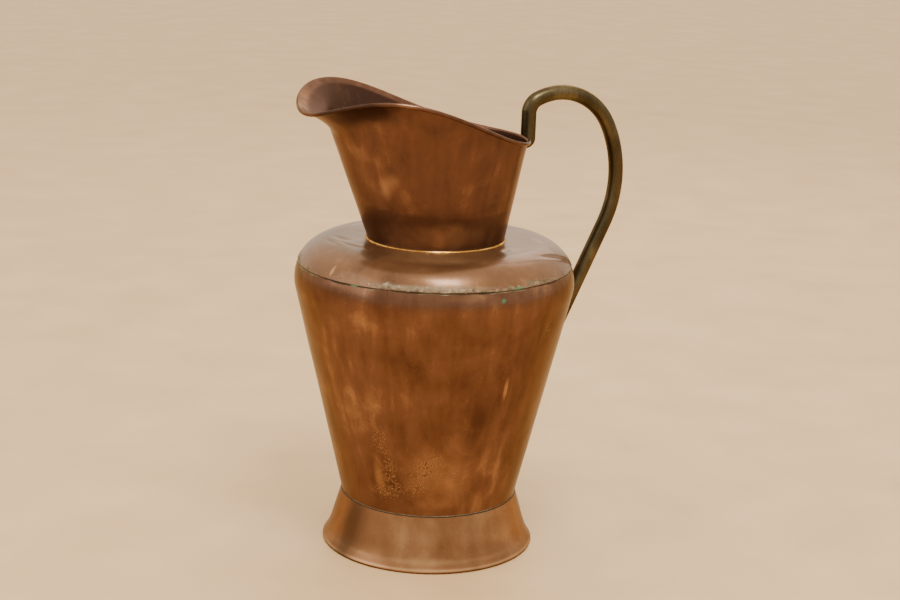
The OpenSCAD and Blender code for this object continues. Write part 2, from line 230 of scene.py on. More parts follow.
def tube_faces(loops: int, sides: int) -> list[tuple[int, ...]]:
    """Faces of a tube through closed loops of points, with a cap over each end."""
    last = (loops - 1) * sides
    caps = [tuple(reversed(range(sides))), tuple(range(last, last + sides))]
    return loop_faces(loops, sides) + caps


def turned_solid(name: str, outline: Outline, sides: int) -> bpy.types.Object:
    """Turns an outline about Z into a solid that closes at both poles.

    Args:
        name: The piece's name.
        outline: Radius, height and side of each corner, from one pole outwards and back to the other pole.
        sides: How many steps the turn has.

    Returns:
        The solid, as a closed mesh.
    """
    (_, start, start_side), *rings, (_, end, end_side) = outline
    turn = math.tau * np.arange(sides) / sides
    loops = [np.stack([r * np.cos(turn), r * np.sin(turn), np.full(sides, z)], axis=1) for r, z, _ in rings]
    pole, last = len(rings) * sides, (len(rings) - 1) * sides
    faces = loop_faces(len(rings), sides)
    faces += [(pole, (j + 1) % sides, j) for j in range(sides)]
    faces += [(pole + 1, last + j, last + (j + 1) % sides) for j in range(sides)]
    mesh = mesh_from(name, np.concatenate(loops + [np.array([(0, 0, start), (0, 0, end)])]), faces)
    skin = [side for _, _, side in rings for _ in range(sides)]
    store(mesh, "skin", np.array(skin + [start_side, end_side]))
    return link_object(name, mesh)


def smooth(mesh: bpy.types.Mesh, angle: float) -> None:
    """Shades a mesh smooth, but for edges that turn more than an angle in degrees."""
    mesh.polygons.foreach_set("use_smooth", np.ones(len(mesh.polygons), bool))
    mesh.set_sharp_from_angle(angle=math.radians(angle))


# --- Marks that use has left on the metal ------------------------------------------------------------


class Trace(Enum):
    """What use and age have left on a spot of the metal, and the light and shade painted on it, as the name
    that materials read.
    """

    # Stains, and also painted shade and painted dark reflections
    STAIN_AND_PAINTED_SHADE = "stain_and_painted_shade"
    PITS = "pits"
    # A painted pale grey sheen, a painted reflection of bright light
    GREY_PAINTED_SHEEN = "grey"
    # Worn spots, and also painted highlights and painted light over shade
    RUB_AND_PAINTED_LIGHT = "rub_and_painted_light"
    GREEN = "green"


@dataclass(frozen=True)
class Mark:
    """A soft-edged spot on a sheet.

    Attributes:
        trace: What the spot shows.
        angle: Where it is round the axis, in degrees from the handle.
        height: Its height.
        wide: Its half width round the vessel.
        tall: Its half height.
        strength: How strongly it shows, 1 being full.
    """

    trace: Trace
    angle: float
    height: float
    wide: float
    tall: float
    strength: float = 1.0


def marks(trace: Trace, *spots: Sequence[float]) -> list[Mark]:
    """Marks of one kind: the angle, height, half width, half height and strength of each."""
    return [Mark(trace, *spot) for spot in spots]


@dataclass(frozen=True)
class Dent:
    """A dent or a crease in a sheet.

    Attributes:
        angle: Where its middle is round the axis, in degrees from the handle.
        radius: Its middle's distance from the axis.
        height: Its middle's height.
        long: Its half length.
        wide: Its half width.
        depth: How deep it is, or how proud when negative.
        turn: Direction of its length, in degrees from level, seen from outside or from above.
    """

    angle: float
    radius: float
    height: float
    long: float
    wide: float
    depth: float
    turn: float = 0.0


@dataclass(frozen=True)
class Band:
    """All of a sheet that lies below a wavy line.

    Attributes:
        trace: What the band shows.
        top: The line's mean height.
        swing: How far the line rises and falls.
        angle: Where the line is highest, in degrees from the handle.
        soft: Height over which the band fades out.
        strength: How strongly it shows, 1 being full.
    """

    trace: Trace
    top: float
    swing: float
    angle: float
    soft: float
    strength: float = 1.0


def axes_at(angle: float) -> tuple[np.ndarray, np.ndarray]:
    """Unit vectors outwards and round the vessel, at an angle from the handle."""
    c, s = math.cos(math.radians(angle)), math.sin(math.radians(angle))
    return np.array([c, s, 0.0]), np.array([-s, c, 0.0])


def paint(
    mesh: bpy.types.Mesh, spots: Sequence[Mark], bands: Sequence[Band], inside: float | np.ndarray
) -> None:
    """Stores how strongly each kind of mark shows at each point of a mesh.

    Args:
        mesh: The sheet's mesh.
        spots: Its marks.
        bands: Its bands.
        inside: How strongly its inside is stained, all over or point by point.
    """
    where = points_of(mesh) / MM
    radius = np.hypot(where[:, 0], where[:, 1])
    bearing = np.degrees(np.arctan2(where[:, 1], where[:, 0]))
    for trace in Trace:
        total = np.zeros(len(where))
        for mark in (m for m in spots if m.trace is trace):
            turned = (bearing - mark.angle + 180) % 360 - 180
            across = np.radians(turned) * radius / mark.wide
            up = (where[:, 2] - mark.height) / mark.tall
            total += mark.strength * np.exp(-(across**2) - up**2)
        for band in (b for b in bands if b.trace is trace):
            turned = np.radians(bearing - band.angle)
            line = band.top + band.swing * (0.7 * np.cos(turned) + 0.3 * np.cos(3 * turned + 1))
            total += band.strength / (1 + np.exp((where[:, 2] - line) * 4 / band.soft))
        if trace is Trace.STAIN_AND_PAINTED_SHADE:
            total += inside * (read(mesh, "skin") < 0)
        store(mesh, trace.value, np.clip(total, 0, 1.6))


def press(mesh: bpy.types.Mesh, *dents: Sequence[float]) -> None:
    """Presses dents and creases into a sheet, both of its sides together.

    Args:
        mesh: The sheet's mesh.
        dents: What Dent takes, for each dent.
    """
    where = points_of(mesh)
    normals = np.zeros(len(where) * 3, np.float32)
    mesh.vertex_normals.foreach_get("vector", normals)
    outwards = normals.reshape(-1, 3) * read(mesh, "skin")[:, None]
    sunk = np.zeros(len(where))
    for dent in (Dent(*sizes) for sizes in dents):
        turn = math.radians(dent.turn)
        outward, level = axes_at(dent.angle)
        offset = where / MM - outward * dent.radius - np.array([0, 0, dent.height])
        rise = offset[:, 2] - offset @ outward
        along = (offset @ level) * math.cos(turn) + rise * math.sin(turn)
        across = rise * math.cos(turn) - (offset @ level) * math.sin(turn)
        sunk += dent.depth * np.exp(-((along / dent.long) ** 2) - (across / dent.wide) ** 2)
    move_points(mesh, where - outwards * sunk[:, None] * MM)


# --- Geometry trees ----------------------------------------------------------------------------------


@dataclass
class Tree:
    """A geometry tree with named inputs.

    Attributes:
        name: The tree's name.
        group: The node group itself.
        source: The node that gives the geometry and the named inputs.
    """

    name: str
    group: bpy.types.NodeTree = field(init=False)
    source: bpy.types.Node = field(init=False)

    def __post_init__(self) -> None:
        """Makes the empty tree with its geometry input and output."""
        self.group = bpy.data.node_groups.new(self.name, "GeometryNodeTree")
        self.group.interface.new_socket(name="Geometry", in_out="OUTPUT", socket_type="NodeSocketGeometry")
        self.group.interface.new_socket(name="Geometry", in_out="INPUT", socket_type="NodeSocketGeometry")
        self.source = self.group.nodes.new("NodeGroupInput")

    def take(self, name: str, kind: str, default: Any = None) -> bpy.types.NodeSocket:
        """Adds a named input.

        Args:
            name: The input's name.
            kind: Its kind, such as "Float", "Int", "Vector" or "Material".
            default: Its value when none is set.

        Returns:
            The socket that gives the input's value inside the tree.
        """
        socket = self.group.interface.new_socket(
            name=name, in_out="INPUT", socket_type=f"NodeSocket{kind}"
        )
        if default is not None:
            socket.default_value = default
        return self.source.outputs[name]

    def add(self, kind: str, settings: dict | None = None, inputs: dict | None = None) -> bpy.types.Node:
        """Adds a node to the tree, as add_node does."""
        return add_node(self.group, kind, settings, inputs)

    def math(self, operation: str, first: Any, second: Any = 0.0) -> bpy.types.Node:
        """Adds a node that works out one number from two."""
        return self.add("ShaderNodeMath", {"operation": operation}, {0: first, 1: second})

    def side(self) -> bpy.types.Node:
        """Adds the node that reads which side of its sheet a point is on."""
        return self.add("GeometryNodeInputNamedAttribute", {"data_type": "FLOAT"}, {"Name": "skin"})

    def uneven(self, shape: Any, skin: Any) -> bpy.types.Node:
        """Moves a surface in and out, in broad shallow dents and in small hammer marks.

        Args:
            shape: The node or socket that gives the geometry.
            skin: 1 on the outside of a sheet and -1 on its inside, so that its thickness stays.

        Returns:
            The node that gives the uneven geometry.
        """
        seed = self.take("Seed", "Float", 1.0)
        total = None
        for word, size, depth in (("Dent", 0.06, 0.0003), ("Mark", 0.014, 0.00004)):
            scale = self.math("DIVIDE", 1.0, self.take(f"{word} size", "Float", size))
            noise = self.add(
                "ShaderNodeTexNoise", {"noise_dimensions": "4D"},
                {"W": seed, "Scale": scale, "Detail": 2.0, "Roughness": 0.5},
            )
            swing = self.math("MULTIPLY", self.math("SUBTRACT", noise, 0.5), 2.0)
            moved = self.math("MULTIPLY", swing, self.take(f"{word} depth", "Float", depth))
            total = moved if total is None else self.math("ADD", total, moved)
        normal = self.add("GeometryNodeInputNormal")
        offset = self.add(
            "ShaderNodeVectorMath", {"operation": "SCALE"},
            {0: normal, "Scale": self.math("MULTIPLY", total, skin)},
        )
        return self.add("GeometryNodeSetPosition", {}, {"Geometry": shape, "Offset": offset})

    def end(self, shape: Any) -> None:
        """Ends the tree: instances made real, shaded smooth, and given the finish."""
        real = self.add("GeometryNodeRealizeInstances", {}, {0: shape})
        shaded = self.add("GeometryNodeSetShadeSmooth", {}, {"Geometry": real})
        finish = self.take("Finish", "Material")
        dressed = self.add("GeometryNodeSetMaterial", {}, {"Geometry": shaded, "Material": finish})
        self.add("NodeGroupOutput", {}, {0: dressed})

    def run(self, start: bpy.types.Object, values: dict[str, Any]) -> bpy.types.Object:
        """Runs the tree on an object and keeps the result as a plain mesh.

        Args:
            start: The object that the tree starts from. It is used up.
            values: A value for each named input.

        Returns:
            A new object of the same name, with the result as its mesh.
        """
        name = start.name
        modifier = start.modifiers.new(self.name, "NODES")
        modifier.node_group = self.group
        for item in self.group.interface.items_tree:
            if item.in_out == "INPUT" and item.name in values:
                modifier[item.identifier] = values[item.name]
        ready = start.evaluated_get(bpy.context.evaluated_depsgraph_get())
        mesh = bpy.data.meshes.new_from_object(ready)
        start.modifiers.clear()
        old = start.data
        bpy.data.objects.remove(start)
        bpy.data.meshes.remove(old)
        mesh.name = name
        face_outwards(mesh)
        return link_object(name, mesh)


def turned_tree() -> Tree:
    """Tree that turns a closed outline round the vessel's axis, with the unevenness of hand work."""
    tree = Tree("Turned outline")
    outline = tree.add("GeometryNodeMeshToCurve", {}, {0: tree.source.outputs[0]})
    ring = tree.add(
        "GeometryNodeCurvePrimitiveCircle", {},
        {"Resolution": tree.take("Sides", "Int", 288), "Radius": tree.take("Ring radius", "Float", 0.1)},
    )
    swept = tree.add("GeometryNodeCurveToMesh", {}, {"Curve": ring, "Profile Curve": outline})
    tree.end(tree.uneven(swept, tree.side()))
    return tree


def hammered_tree() -> Tree:
    """Tree that gives a ready mesh the unevenness of hand work."""
    tree = Tree("Hammered sheet")
    tree.end(tree.uneven(tree.source.outputs[0], tree.side()))
    return tree


def rivet_tree() -> Tree:
    """Tree that sets a row of copies of its own geometry, square to a wall, each turned its own way."""
    tree = Tree("Rivet row")
    row = tree.add(
        "GeometryNodeMeshLine", {"mode": "OFFSET"},
        {"Count": tree.take("Count", "Int", 2), "Start Location": tree.take("First", "Vector"),
         "Offset": tree.take("Step", "Vector")},
    )
    lean = tree.add(
        "FunctionNodeAlignRotationToVector", {"axis": "Z"}, {"Vector": tree.take("Outwards", "Vector")}
    )
    turn = tree.add(
        "FunctionNodeRandomValue", {"data_type": "FLOAT"},
        {"Min": 0.0, "Max": math.tau, "Seed": tree.take("Turn seed", "Int", 3)},
    )
    spin = tree.add("ShaderNodeCombineXYZ", {}, {"Z": turn.outputs[1]})
    turned = tree.add("FunctionNodeRotateRotation", {"rotation_space": "LOCAL"}, {0: lean, 1: spin})
    placed = tree.add(
        "GeometryNodeInstanceOnPoints", {},
        {"Points": row, "Instance": tree.source.outputs[0], "Rotation": turned},
    )
    real = tree.add("GeometryNodeRealizeInstances", {}, {0: placed})
    tree.end(tree.uneven(real, 1.0))
    return tree


def drops_tree() -> Tree:
    """Tree that scatters small drops over a surface, sunk half into it."""
    tree = Tree("Solder drops")
    scatter = tree.add(
        "GeometryNodeDistributePointsOnFaces", {"distribute_method": "RANDOM"},
        {"Mesh": tree.source.outputs[0], "Density": tree.take("Density", "Float", 2000.0),
         "Seed": tree.take("Scatter seed", "Int", 5)},
    )
    drop = tree.add(
        "GeometryNodeMeshIcoSphere", {},
        {"Radius": tree.take("Drop radius", "Float", 0.001), "Subdivisions": 2},
    )
    size = tree.add(
        "FunctionNodeRandomValue", {"data_type": "FLOAT_VECTOR"},
        {"Min": (0.35, 0.35, 0.2), "Max": (1.0, 1.3, 0.5)},
    )
    placed = tree.add(
        "GeometryNodeInstanceOnPoints", {},
        {"Points": scatter.outputs["Points"], "Instance": drop, "Rotation": scatter.outputs["Rotation"],
         "Scale": size.outputs[0]},
    )
    tree.end(placed)
    return tree


def hand_work(dent: Point, mark: Point, seed: float, finish: bpy.types.Material) -> dict[str, Any]:
    """Values for the inputs that make a piece uneven and give it its finish.

    Args:
        dent: Size and depth of its broad unevenness.
        mark: Size and depth of its hammer marks.
        seed: Picks one pattern of unevenness.
        finish: The piece's material.

    Returns:
        A value for each named input.
    """
    return {
        "Dent size": dent[0] * MM, "Dent depth": dent[1] * MM, "Seed": seed,
        "Mark size": mark[0] * MM, "Mark depth": mark[1] * MM, "Finish": finish,
    }


@dataclass
class Bench:
    """The geometry trees that the pieces are made with.

    Attributes:
        turned: Turns an outline round the axis.
        hammered: Makes a ready mesh uneven.
        rivets: Sets a row of copies on a wall.
        drops: Scatters drops over a surface.
    """

    turned: Tree = field(default_factory=turned_tree)
    hammered: Tree = field(default_factory=hammered_tree)
    rivets: Tree = field(default_factory=rivet_tree)
    drops: Tree = field(default_factory=drops_tree)

    def turn(
        self,
        name: str,
        outline: Outline,
        finish: bpy.types.Material,
        dent: Point,
        mark: Point,
        seed: float = 1.0,
        sides: int = 288,
    ) -> bpy.types.Object:
        """Turns a closed outline round the axis.

        Args:
            name: The piece's name.
            outline: Radius, height and side (1 outside, -1 inside) of each corner of the outline.
            finish: The piece's material.
            dent: Size and depth of its broad unevenness.
            mark: Size and depth of its hammer marks.
            seed: Picks one pattern of unevenness.
            sides: How many steps the turn has.

        Returns:
            The piece, as a plain mesh.
        """
        ring = max(radius for radius, _, _ in outline)
        mesh = bpy.data.meshes.new(name)
        count = len(outline)
        mesh.from_pydata(
            [((radius - ring) * MM, -height * MM, 0) for radius, height, _ in outline],
            [(i, (i + 1) % count) for i in range(count)], [],
        )
        store(mesh, "skin", np.array([side for _, _, side in outline]))
        values = hand_work(dent, mark, seed, finish) | {"Sides": sides, "Ring radius": ring * MM}
        return self.turned.run(link_object(name, mesh), values)

    def hammer(
        self, start: bpy.types.Object, finish: bpy.types.Material, dent: Point, mark: Point, seed: float = 1.0
    ) -> bpy.types.Object:
        """Gives a ready piece its unevenness and its finish, with the sizes that turn() takes."""
        return self.hammered.run(start, hand_work(dent, mark, seed, finish))


def keep(
    piece: bpy.types.Object, slot: str, *nodes: str, spots: Sequence[Mark] = (), bands: Sequence[Band] = (),
    inside: float | np.ndarray = 0.0, sharp: float = 40,
) -> None:
    """Paints a finished piece's marks and settles it into the frame.

    Args:
        piece: The finished piece.
        slot: The record's material slot that it stands for; it is not used.
        nodes: The CAD nodes that it stands for.
        spots: Its marks.
        bands: Its darker bands.
        inside: How strongly its inside is stained, all over or point by point.
        sharp: Edges that turn more than this angle, in degrees, stay sharp.
    """
    paint(piece.data, spots, bands, inside)
    smooth(piece.data, sharp)
    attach(piece, "root")
    if nodes:
        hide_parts(*nodes)
    LOG.info("%s: %d faces, for %s", piece.name, len(piece.data.polygons), ", ".join(nodes) or "itself")


# --- Finishes ----------------------------------------------------------------------------------------


@dataclass(frozen=True)
class AgedMetal:
    """Old sheet metal under its patina.

    Brown tones run down the sheet in streaks and clouds, thin where hands and cloths have rubbed it. Stains,
    pits and green verdigris show where the sheet's own marks say, and so do painted light and shade: lighter
    and darker patches, and a painted pale grey sheen.

    Attributes:
        name: The material's name.
        dark: Colour of the thickest patina.
        brown: Colour of the usual patina.
        warm: Colour of a thin patina.
        bright: Colour where the metal is rubbed.
        cloud_mm: Size of the broad clouds of tone.
        streak_mm: Width of the streaks that run down the sheet.
        grain_mm: Size of the fine mottling.
        rough: Roughness of the clean metal and of the thickest patina.
        bite: Height of the fine relief, in millimetres.
        shine: How much of it still looks like metal, 0 to 1.
        tone: Shifts the whole between dark and bright, 0.5 being even.
        coat: Weight of the grease and old lacquer on it, which give its pale sheen.
        coat_rough: Roughness of that coat.
        edge: Tint of the metal where it is seen at a slant, where patina keeps it from turning white.
        film: Colour of the painted pale grey sheen, a painted reflection of bright light.
    """

    name: str
    dark: str
    brown: str
    warm: str
    bright: str
    cloud_mm: float = 90
    streak_mm: float = 18
    grain_mm: float = 2.2
    rough: Point = (0.2, 0.36)
    bite: float = 0.05
    shine: float = 0.92
    tone: float = 0.5
    coat: float = 0.05
    coat_rough: float = 0.24
    edge: str = "#c9b6a6"
    film: str = "#8f8068"

    def make(self) -> bpy.types.Material:
        """Builds the material."""
        material = bpy.data.materials.new(self.name)
        tree = empty_tree(material)

        def add(
            kind: str, settings: dict | None = None, inputs: dict | None = None,
            stops: Sequence[tuple[float, Colour]] = (),
        ) -> bpy.types.Node:
            """Adds a node to this material, as add_node does."""
            return add_node(tree, kind, settings, inputs, stops)

        def calc(operation: str, first: Any, second: Any = 0.0, clamp: bool = False) -> bpy.types.Node:
            """Works out one number from two."""
            return add("ShaderNodeMath", {"operation": operation, "use_clamp": clamp}, {0: first, 1: second})

        def blend(share: Any, under: Any, over: Any) -> bpy.types.NodeSocket:
            """Mixes one colour over another by a share."""
            node = add("ShaderNodeMix", {"data_type": "RGBA"}, {0: share, 6: under, 7: over})
            return node.outputs[2]

        def noise(where: Any, size_mm: float, detail: float = 4, bend: float = 0.0) -> bpy.types.Node:
            """Noise whose spots are about a size in millimetres."""
            return add("ShaderNodeTexNoise", {}, {
                "Vector": where, "Scale": 1 / (size_mm * MM), "Detail": detail, "Distortion": bend,
            })

        def trace(kind: Trace) -> bpy.types.NodeSocket:
            """How strongly a kind of mark shows."""
            return add("ShaderNodeAttribute", {"attribute_name": kind.value}).outputs["Fac"]

        def ragged(share: Any, pattern: Any, low: float, high: float) -> bpy.types.Node:
            """Breaks a soft share's edge up with a pattern."""
            mixed = calc("ADD", share, calc("MULTIPLY", calc("SUBTRACT", pattern, 0.5), share))
            return fade(tree, mixed, low, high)

        place = add("ShaderNodeTexCoord").outputs["Object"]
        down = add("ShaderNodeMapping", {}, {"Vector": place, "Scale": (1.0, 1.0, 0.16)})
        cloud = noise(place, self.cloud_mm, 3, 0.6)
        streak = noise(down, self.streak_mm, 5, 0.3)
        grain = noise(place, self.grain_mm, 6)
        patches = noise(place, self.cloud_mm * 0.35, 6, 1.0)

        # Tone: broad clouds and streaks lead, and small patches and grain break them up
        tone: Any = self.tone - 0.5
        for pattern, weight in ((cloud, 0.44), (streak, 0.32), (patches, 0.12), (grain, 0.12)):
            tone = calc("ADD", calc("MULTIPLY", pattern, weight), tone)
        base = add("ShaderNodeValToRGB", {}, {0: tone}, [
            (0.33, colour(self.dark)), (0.45, colour(self.brown)),
            (0.55, colour(self.warm)), (0.72, colour(self.bright)),
        ]).outputs[0]

        # Marks of use and painted light: worn spots and painted light first, then stains and painted shade,
        # the painted grey sheen, and what lies over the metal
        stain_and_painted_shade = ragged(trace(Trace.STAIN_AND_PAINTED_SHADE), streak, 0.1, 0.9)
        rub_and_painted_light = ragged(trace(Trace.RUB_AND_PAINTED_LIGHT), patches, 0.15, 0.8)
        grey = ragged(trace(Trace.GREY_PAINTED_SHEEN), noise(place, 7, 6, 0.8), 0.2, 0.7)
        green = ragged(trace(Trace.GREEN), noise(place, 3, 4), 0.35, 0.7)
        base = blend(rub_and_painted_light, base, colour(self.bright))
        base = blend(stain_and_painted_shade, base, colour(self.dark))
        # Painted highlight: the grey marks mix in a pale grey sheen where bright light would be reflected
        base = blend(calc("MULTIPLY", grey, 0.75), base, colour(self.film))
        base = blend(green, base, colour("#4c7150"))

        # Pits: small round holes in the patina, in patches, dark inside with a lighter crumb at the rim
        pit_mm = 3.0
        cells = add("ShaderNodeTexVoronoi", {}, {
            "Vector": place, "Scale": 1 / (pit_mm * MM), "Randomness": 1.0,
        })
        few = noise(place, 9, 3)
        patchy = calc("MULTIPLY", trace(Trace.PITS), calc("MULTIPLY", few, 0.68))
        chance = calc("ADD", calc("MULTIPLY", few, 0.17), patchy)
        edge = cells.outputs["Distance"]
        pit = fade(tree, calc("SUBTRACT", calc("SUBTRACT", chance, 0.035), edge), 0.0, 0.09)
        rim = fade(tree, calc("SUBTRACT", chance, edge), 0.0, 0.05, end=0.75)
        crumb = calc("MULTIPLY", rim, calc("MINIMUM", trace(Trace.PITS), 1.0))
        base = blend(crumb, base, colour("#d6a074"))
        base = blend(calc("MULTIPLY", pit, 0.8), base, colour("#23150b"))

        # Scratches: thin lines where stretched noise crosses its middle value
        slant = add("ShaderNodeMapping", {}, {
            "Vector": place, "Rotation": (0.5, 0.3, 0.9), "Scale": (1.0, 0.05, 0.3),
        })
        lines = noise(slant, 5, 2)
        line = fade(tree, calc("ABSOLUTE", calc("SUBTRACT", lines, 0.5)), 0.0, 0.006, 1.0, 0.0)
        scratch = calc("MULTIPLY", line, calc("GREATER_THAN", patches, 0.56))
        base = blend(calc("MULTIPLY", scratch, 0.35), base, colour(self.bright))

        # Shine and relief: thick patina and dirt are duller, and pits and scratches go in
        film = calc("MAXIMUM", stain_and_painted_shade, calc("MAXIMUM", grey, pit))
        rough = add("ShaderNodeMapRange", {}, {
            0: calc("ADD", calc("MULTIPLY", tone, -0.6), calc("ADD", 0.8, calc("MULTIPLY", film, 0.5))),
            1: 0.2, 2: 1.0, 3: self.rough[0], 4: self.rough[1],
        })
        metal = calc("SUBTRACT", self.shine, calc("MULTIPLY", calc("MAXIMUM", grey, green), 0.4), True)
        height = calc("MULTIPLY", calc("SUBTRACT", grain, 0.5), 0.5)
        height = calc("SUBTRACT", height, calc("MULTIPLY", pit, 1.6))
        height = calc("SUBTRACT", height, calc("MULTIPLY", scratch, 0.3))
        height = calc("ADD", height, calc("MULTIPLY", few, 0.8))
        bump = add("ShaderNodeBump", {}, {"Height": height, "Distance": self.bite * MM, "Strength": 1.0})
        shader = add("ShaderNodeBsdfPrincipled", {}, {
            "Base Color": base, "Metallic": metal, "Roughness": rough, "Normal": bump,
            "Coat Weight": self.coat, "Coat Roughness": self.coat_rough, "Specular Tint": colour(self.edge),
        })
        add("ShaderNodeOutputMaterial", {}, {"Surface": shader})
        return material


@dataclass(frozen=True)
class Finishes:
    """The ewer's finishes, each made once."""

    body: bpy.types.Material
    foot: bpy.types.Material
    shoulder: bpy.types.Material
    neck: bpy.types.Material
    base: bpy.types.Material
    rivet: bpy.types.Material
    handle: bpy.types.Material
    solder: bpy.types.Material
    braze: bpy.types.Material
    iron: bpy.types.Material

    @classmethod
    def mix(cls) -> "Finishes":
        """Mixes every finish."""
        metals = {
            # Sheet copper, planished and left to tone: warm mid browns with streaks and a soft sheen
            "body": AgedMetal(
                "body copper, toned brown", "#4a2d20", "#62422f", "#704e3a", "#a67c58",
                coat=0.1, edge="#d2c5b0",
            ),
            # Sheet copper, wiped more often: lighter and duller than the body, a tan copper
            "foot": AgedMetal(
                "foot copper, rubbed tan", "#523620", "#765031", "#845b3b", "#a37c55",
                streak_mm=30, rough=(0.26, 0.38), tone=0.56, coat=0.12, edge="#cfc0ac",
            ),
            # Sheet copper, dulled by dust and handling: pinkish brown, with a greyer sheen
            "shoulder": AgedMetal(
                "shoulder copper, dulled pinkish", "#503421", "#69472d", "#755033", "#a37c56",
                streak_mm=26, rough=(0.24, 0.38), coat=0.26, coat_rough=0.13, shine=0.6, edge="#d8c8b4",
            ),
            # Sheet copper with the thickest patina: dark reddish brown, smooth and deep
            "neck": AgedMetal(
                "neck copper, dark reddish", "#3a251c", "#573b2d", "#644433", "#947053", shine=0.82,
            ),
            # Sheet copper that has never been cleaned: nearly black brown and dull
            "base": AgedMetal(
                "base copper, uncleaned", "#2c1a10", "#4e2f1b", "#65402a", "#8a6244", rough=(0.45, 0.62),
            ),
            # Copper rivets, worn brighter on their crowns than the sheet round them
            "rivet": AgedMetal(
                "rivet copper, worn", "#5a3219", "#8d5329", "#b0703c", "#d39a66", cloud_mm=12, streak_mm=6,
            ),
            # Brass tube under an olive-brown film: satin, paler along its ridge
            "handle": AgedMetal(
                "handle brass, olive brown", "#262014", "#3f3624", "#51462f", "#837355",
                cloud_mm=90, streak_mm=20, rough=(0.3, 0.4),
            ),
            # Tin solder, wiped while soft: dull grey-beige and lumpy
            "solder": AgedMetal(
                "tin solder, dull grey", "#3a2e20", "#695741", "#86745c", "#b9a98f",
                cloud_mm=14, streak_mm=6, grain_mm=1.4, rough=(0.4, 0.6), bite=0.35, shine=0.7,
            ),
            # Brass spelter run round the joint: bright gold where rubbed, black where dirt sits
            "braze": AgedMetal(
                "brazing brass, bright", "#2a1e0e", "#8a5f27", "#c08a3f", "#e0b468",
                cloud_mm=14, streak_mm=7, rough=(0.25, 0.4), tone=0.58,
            ),
            # Drawn iron wire, browned by rust
            "iron": AgedMetal(
                "iron wire, rusty", "#241a15", "#43322a", "#5a4335", "#7c6453",
                cloud_mm=16, streak_mm=6, rough=(0.5, 0.7), shine=0.7,
            ),
        }
        return cls(**{use: metal.make() for use, metal in metals.items()})


# --- Outlines ----------------------------------------------------------------------------------------


def line_points(start: Point, end: Point, step: float) -> list[Point]:
    """Points along a straight line, its start included and its end left out.

    Args:
        start: The first point.
        end: Where the line ends.
        step: The widest spacing.

    Returns:
        The points.
    """
    count = max(1, math.ceil(math.dist(start, end) / step))
    return [
        (start[0] + (end[0] - start[0]) * i / count, start[1] + (end[1] - start[1]) * i / count)
        for i in range(count)
    ]


def arc_points(middle: Point, radius: float, first: float, last: float, step: float = 4) -> list[Point]:
    """Points along an arc, both ends included.

    Args:
        middle: The arc's centre.
        radius: Its radius.
        first: Its first angle, in degrees.
        last: Its last angle, in degrees.
        step: The widest spacing of its points, in degrees.

    Returns:
        The points.
    """
    count = max(1, math.ceil(abs(last - first) / step))
    angles = [math.radians(first + (last - first) * i / count) for i in range(count + 1)]
    return [(middle[0] + radius * math.cos(a), middle[1] + radius * math.sin(a)) for a in angles]


def sheet_outline(outside: Sequence[Point], inside: Sequence[Point]) -> Outline:
    """Closes an outside and an inside line, both running the same way, into a sheet's outline."""
    return [(r, z, 1.0) for r, z in outside] + [(r, z, -1.0) for r, z in reversed(inside)]


def solid_outline(points: Sequence[Point]) -> Outline:
    """The outline of a solid ring, which has no inside."""
    return [(r, z, 1.0) for r, z in points]


def tray_outline(under: Sequence[Point], over: Sequence[Point], step: float) -> Outline:
    """Outline of a round tray of sheet, from the middle of its underside to the middle of its upper side.

    Args:
        under: Its underside's line, from the edge of the flat middle outwards.
        over: Its upper side's line, the same way.
        step: Spacing of the rings over the flat middle.

    Returns:
        The outline, for turned_solid.
    """
    flat = [0.0, *np.arange(step, under[0][0] - step / 2, step)]
    return sheet_outline(
        [(r, under[0][1]) for r in flat] + list(under), [(r, over[0][1]) for r in flat] + list(over)
    )


# --- The vessel --------------------------------------------------------------------------------------


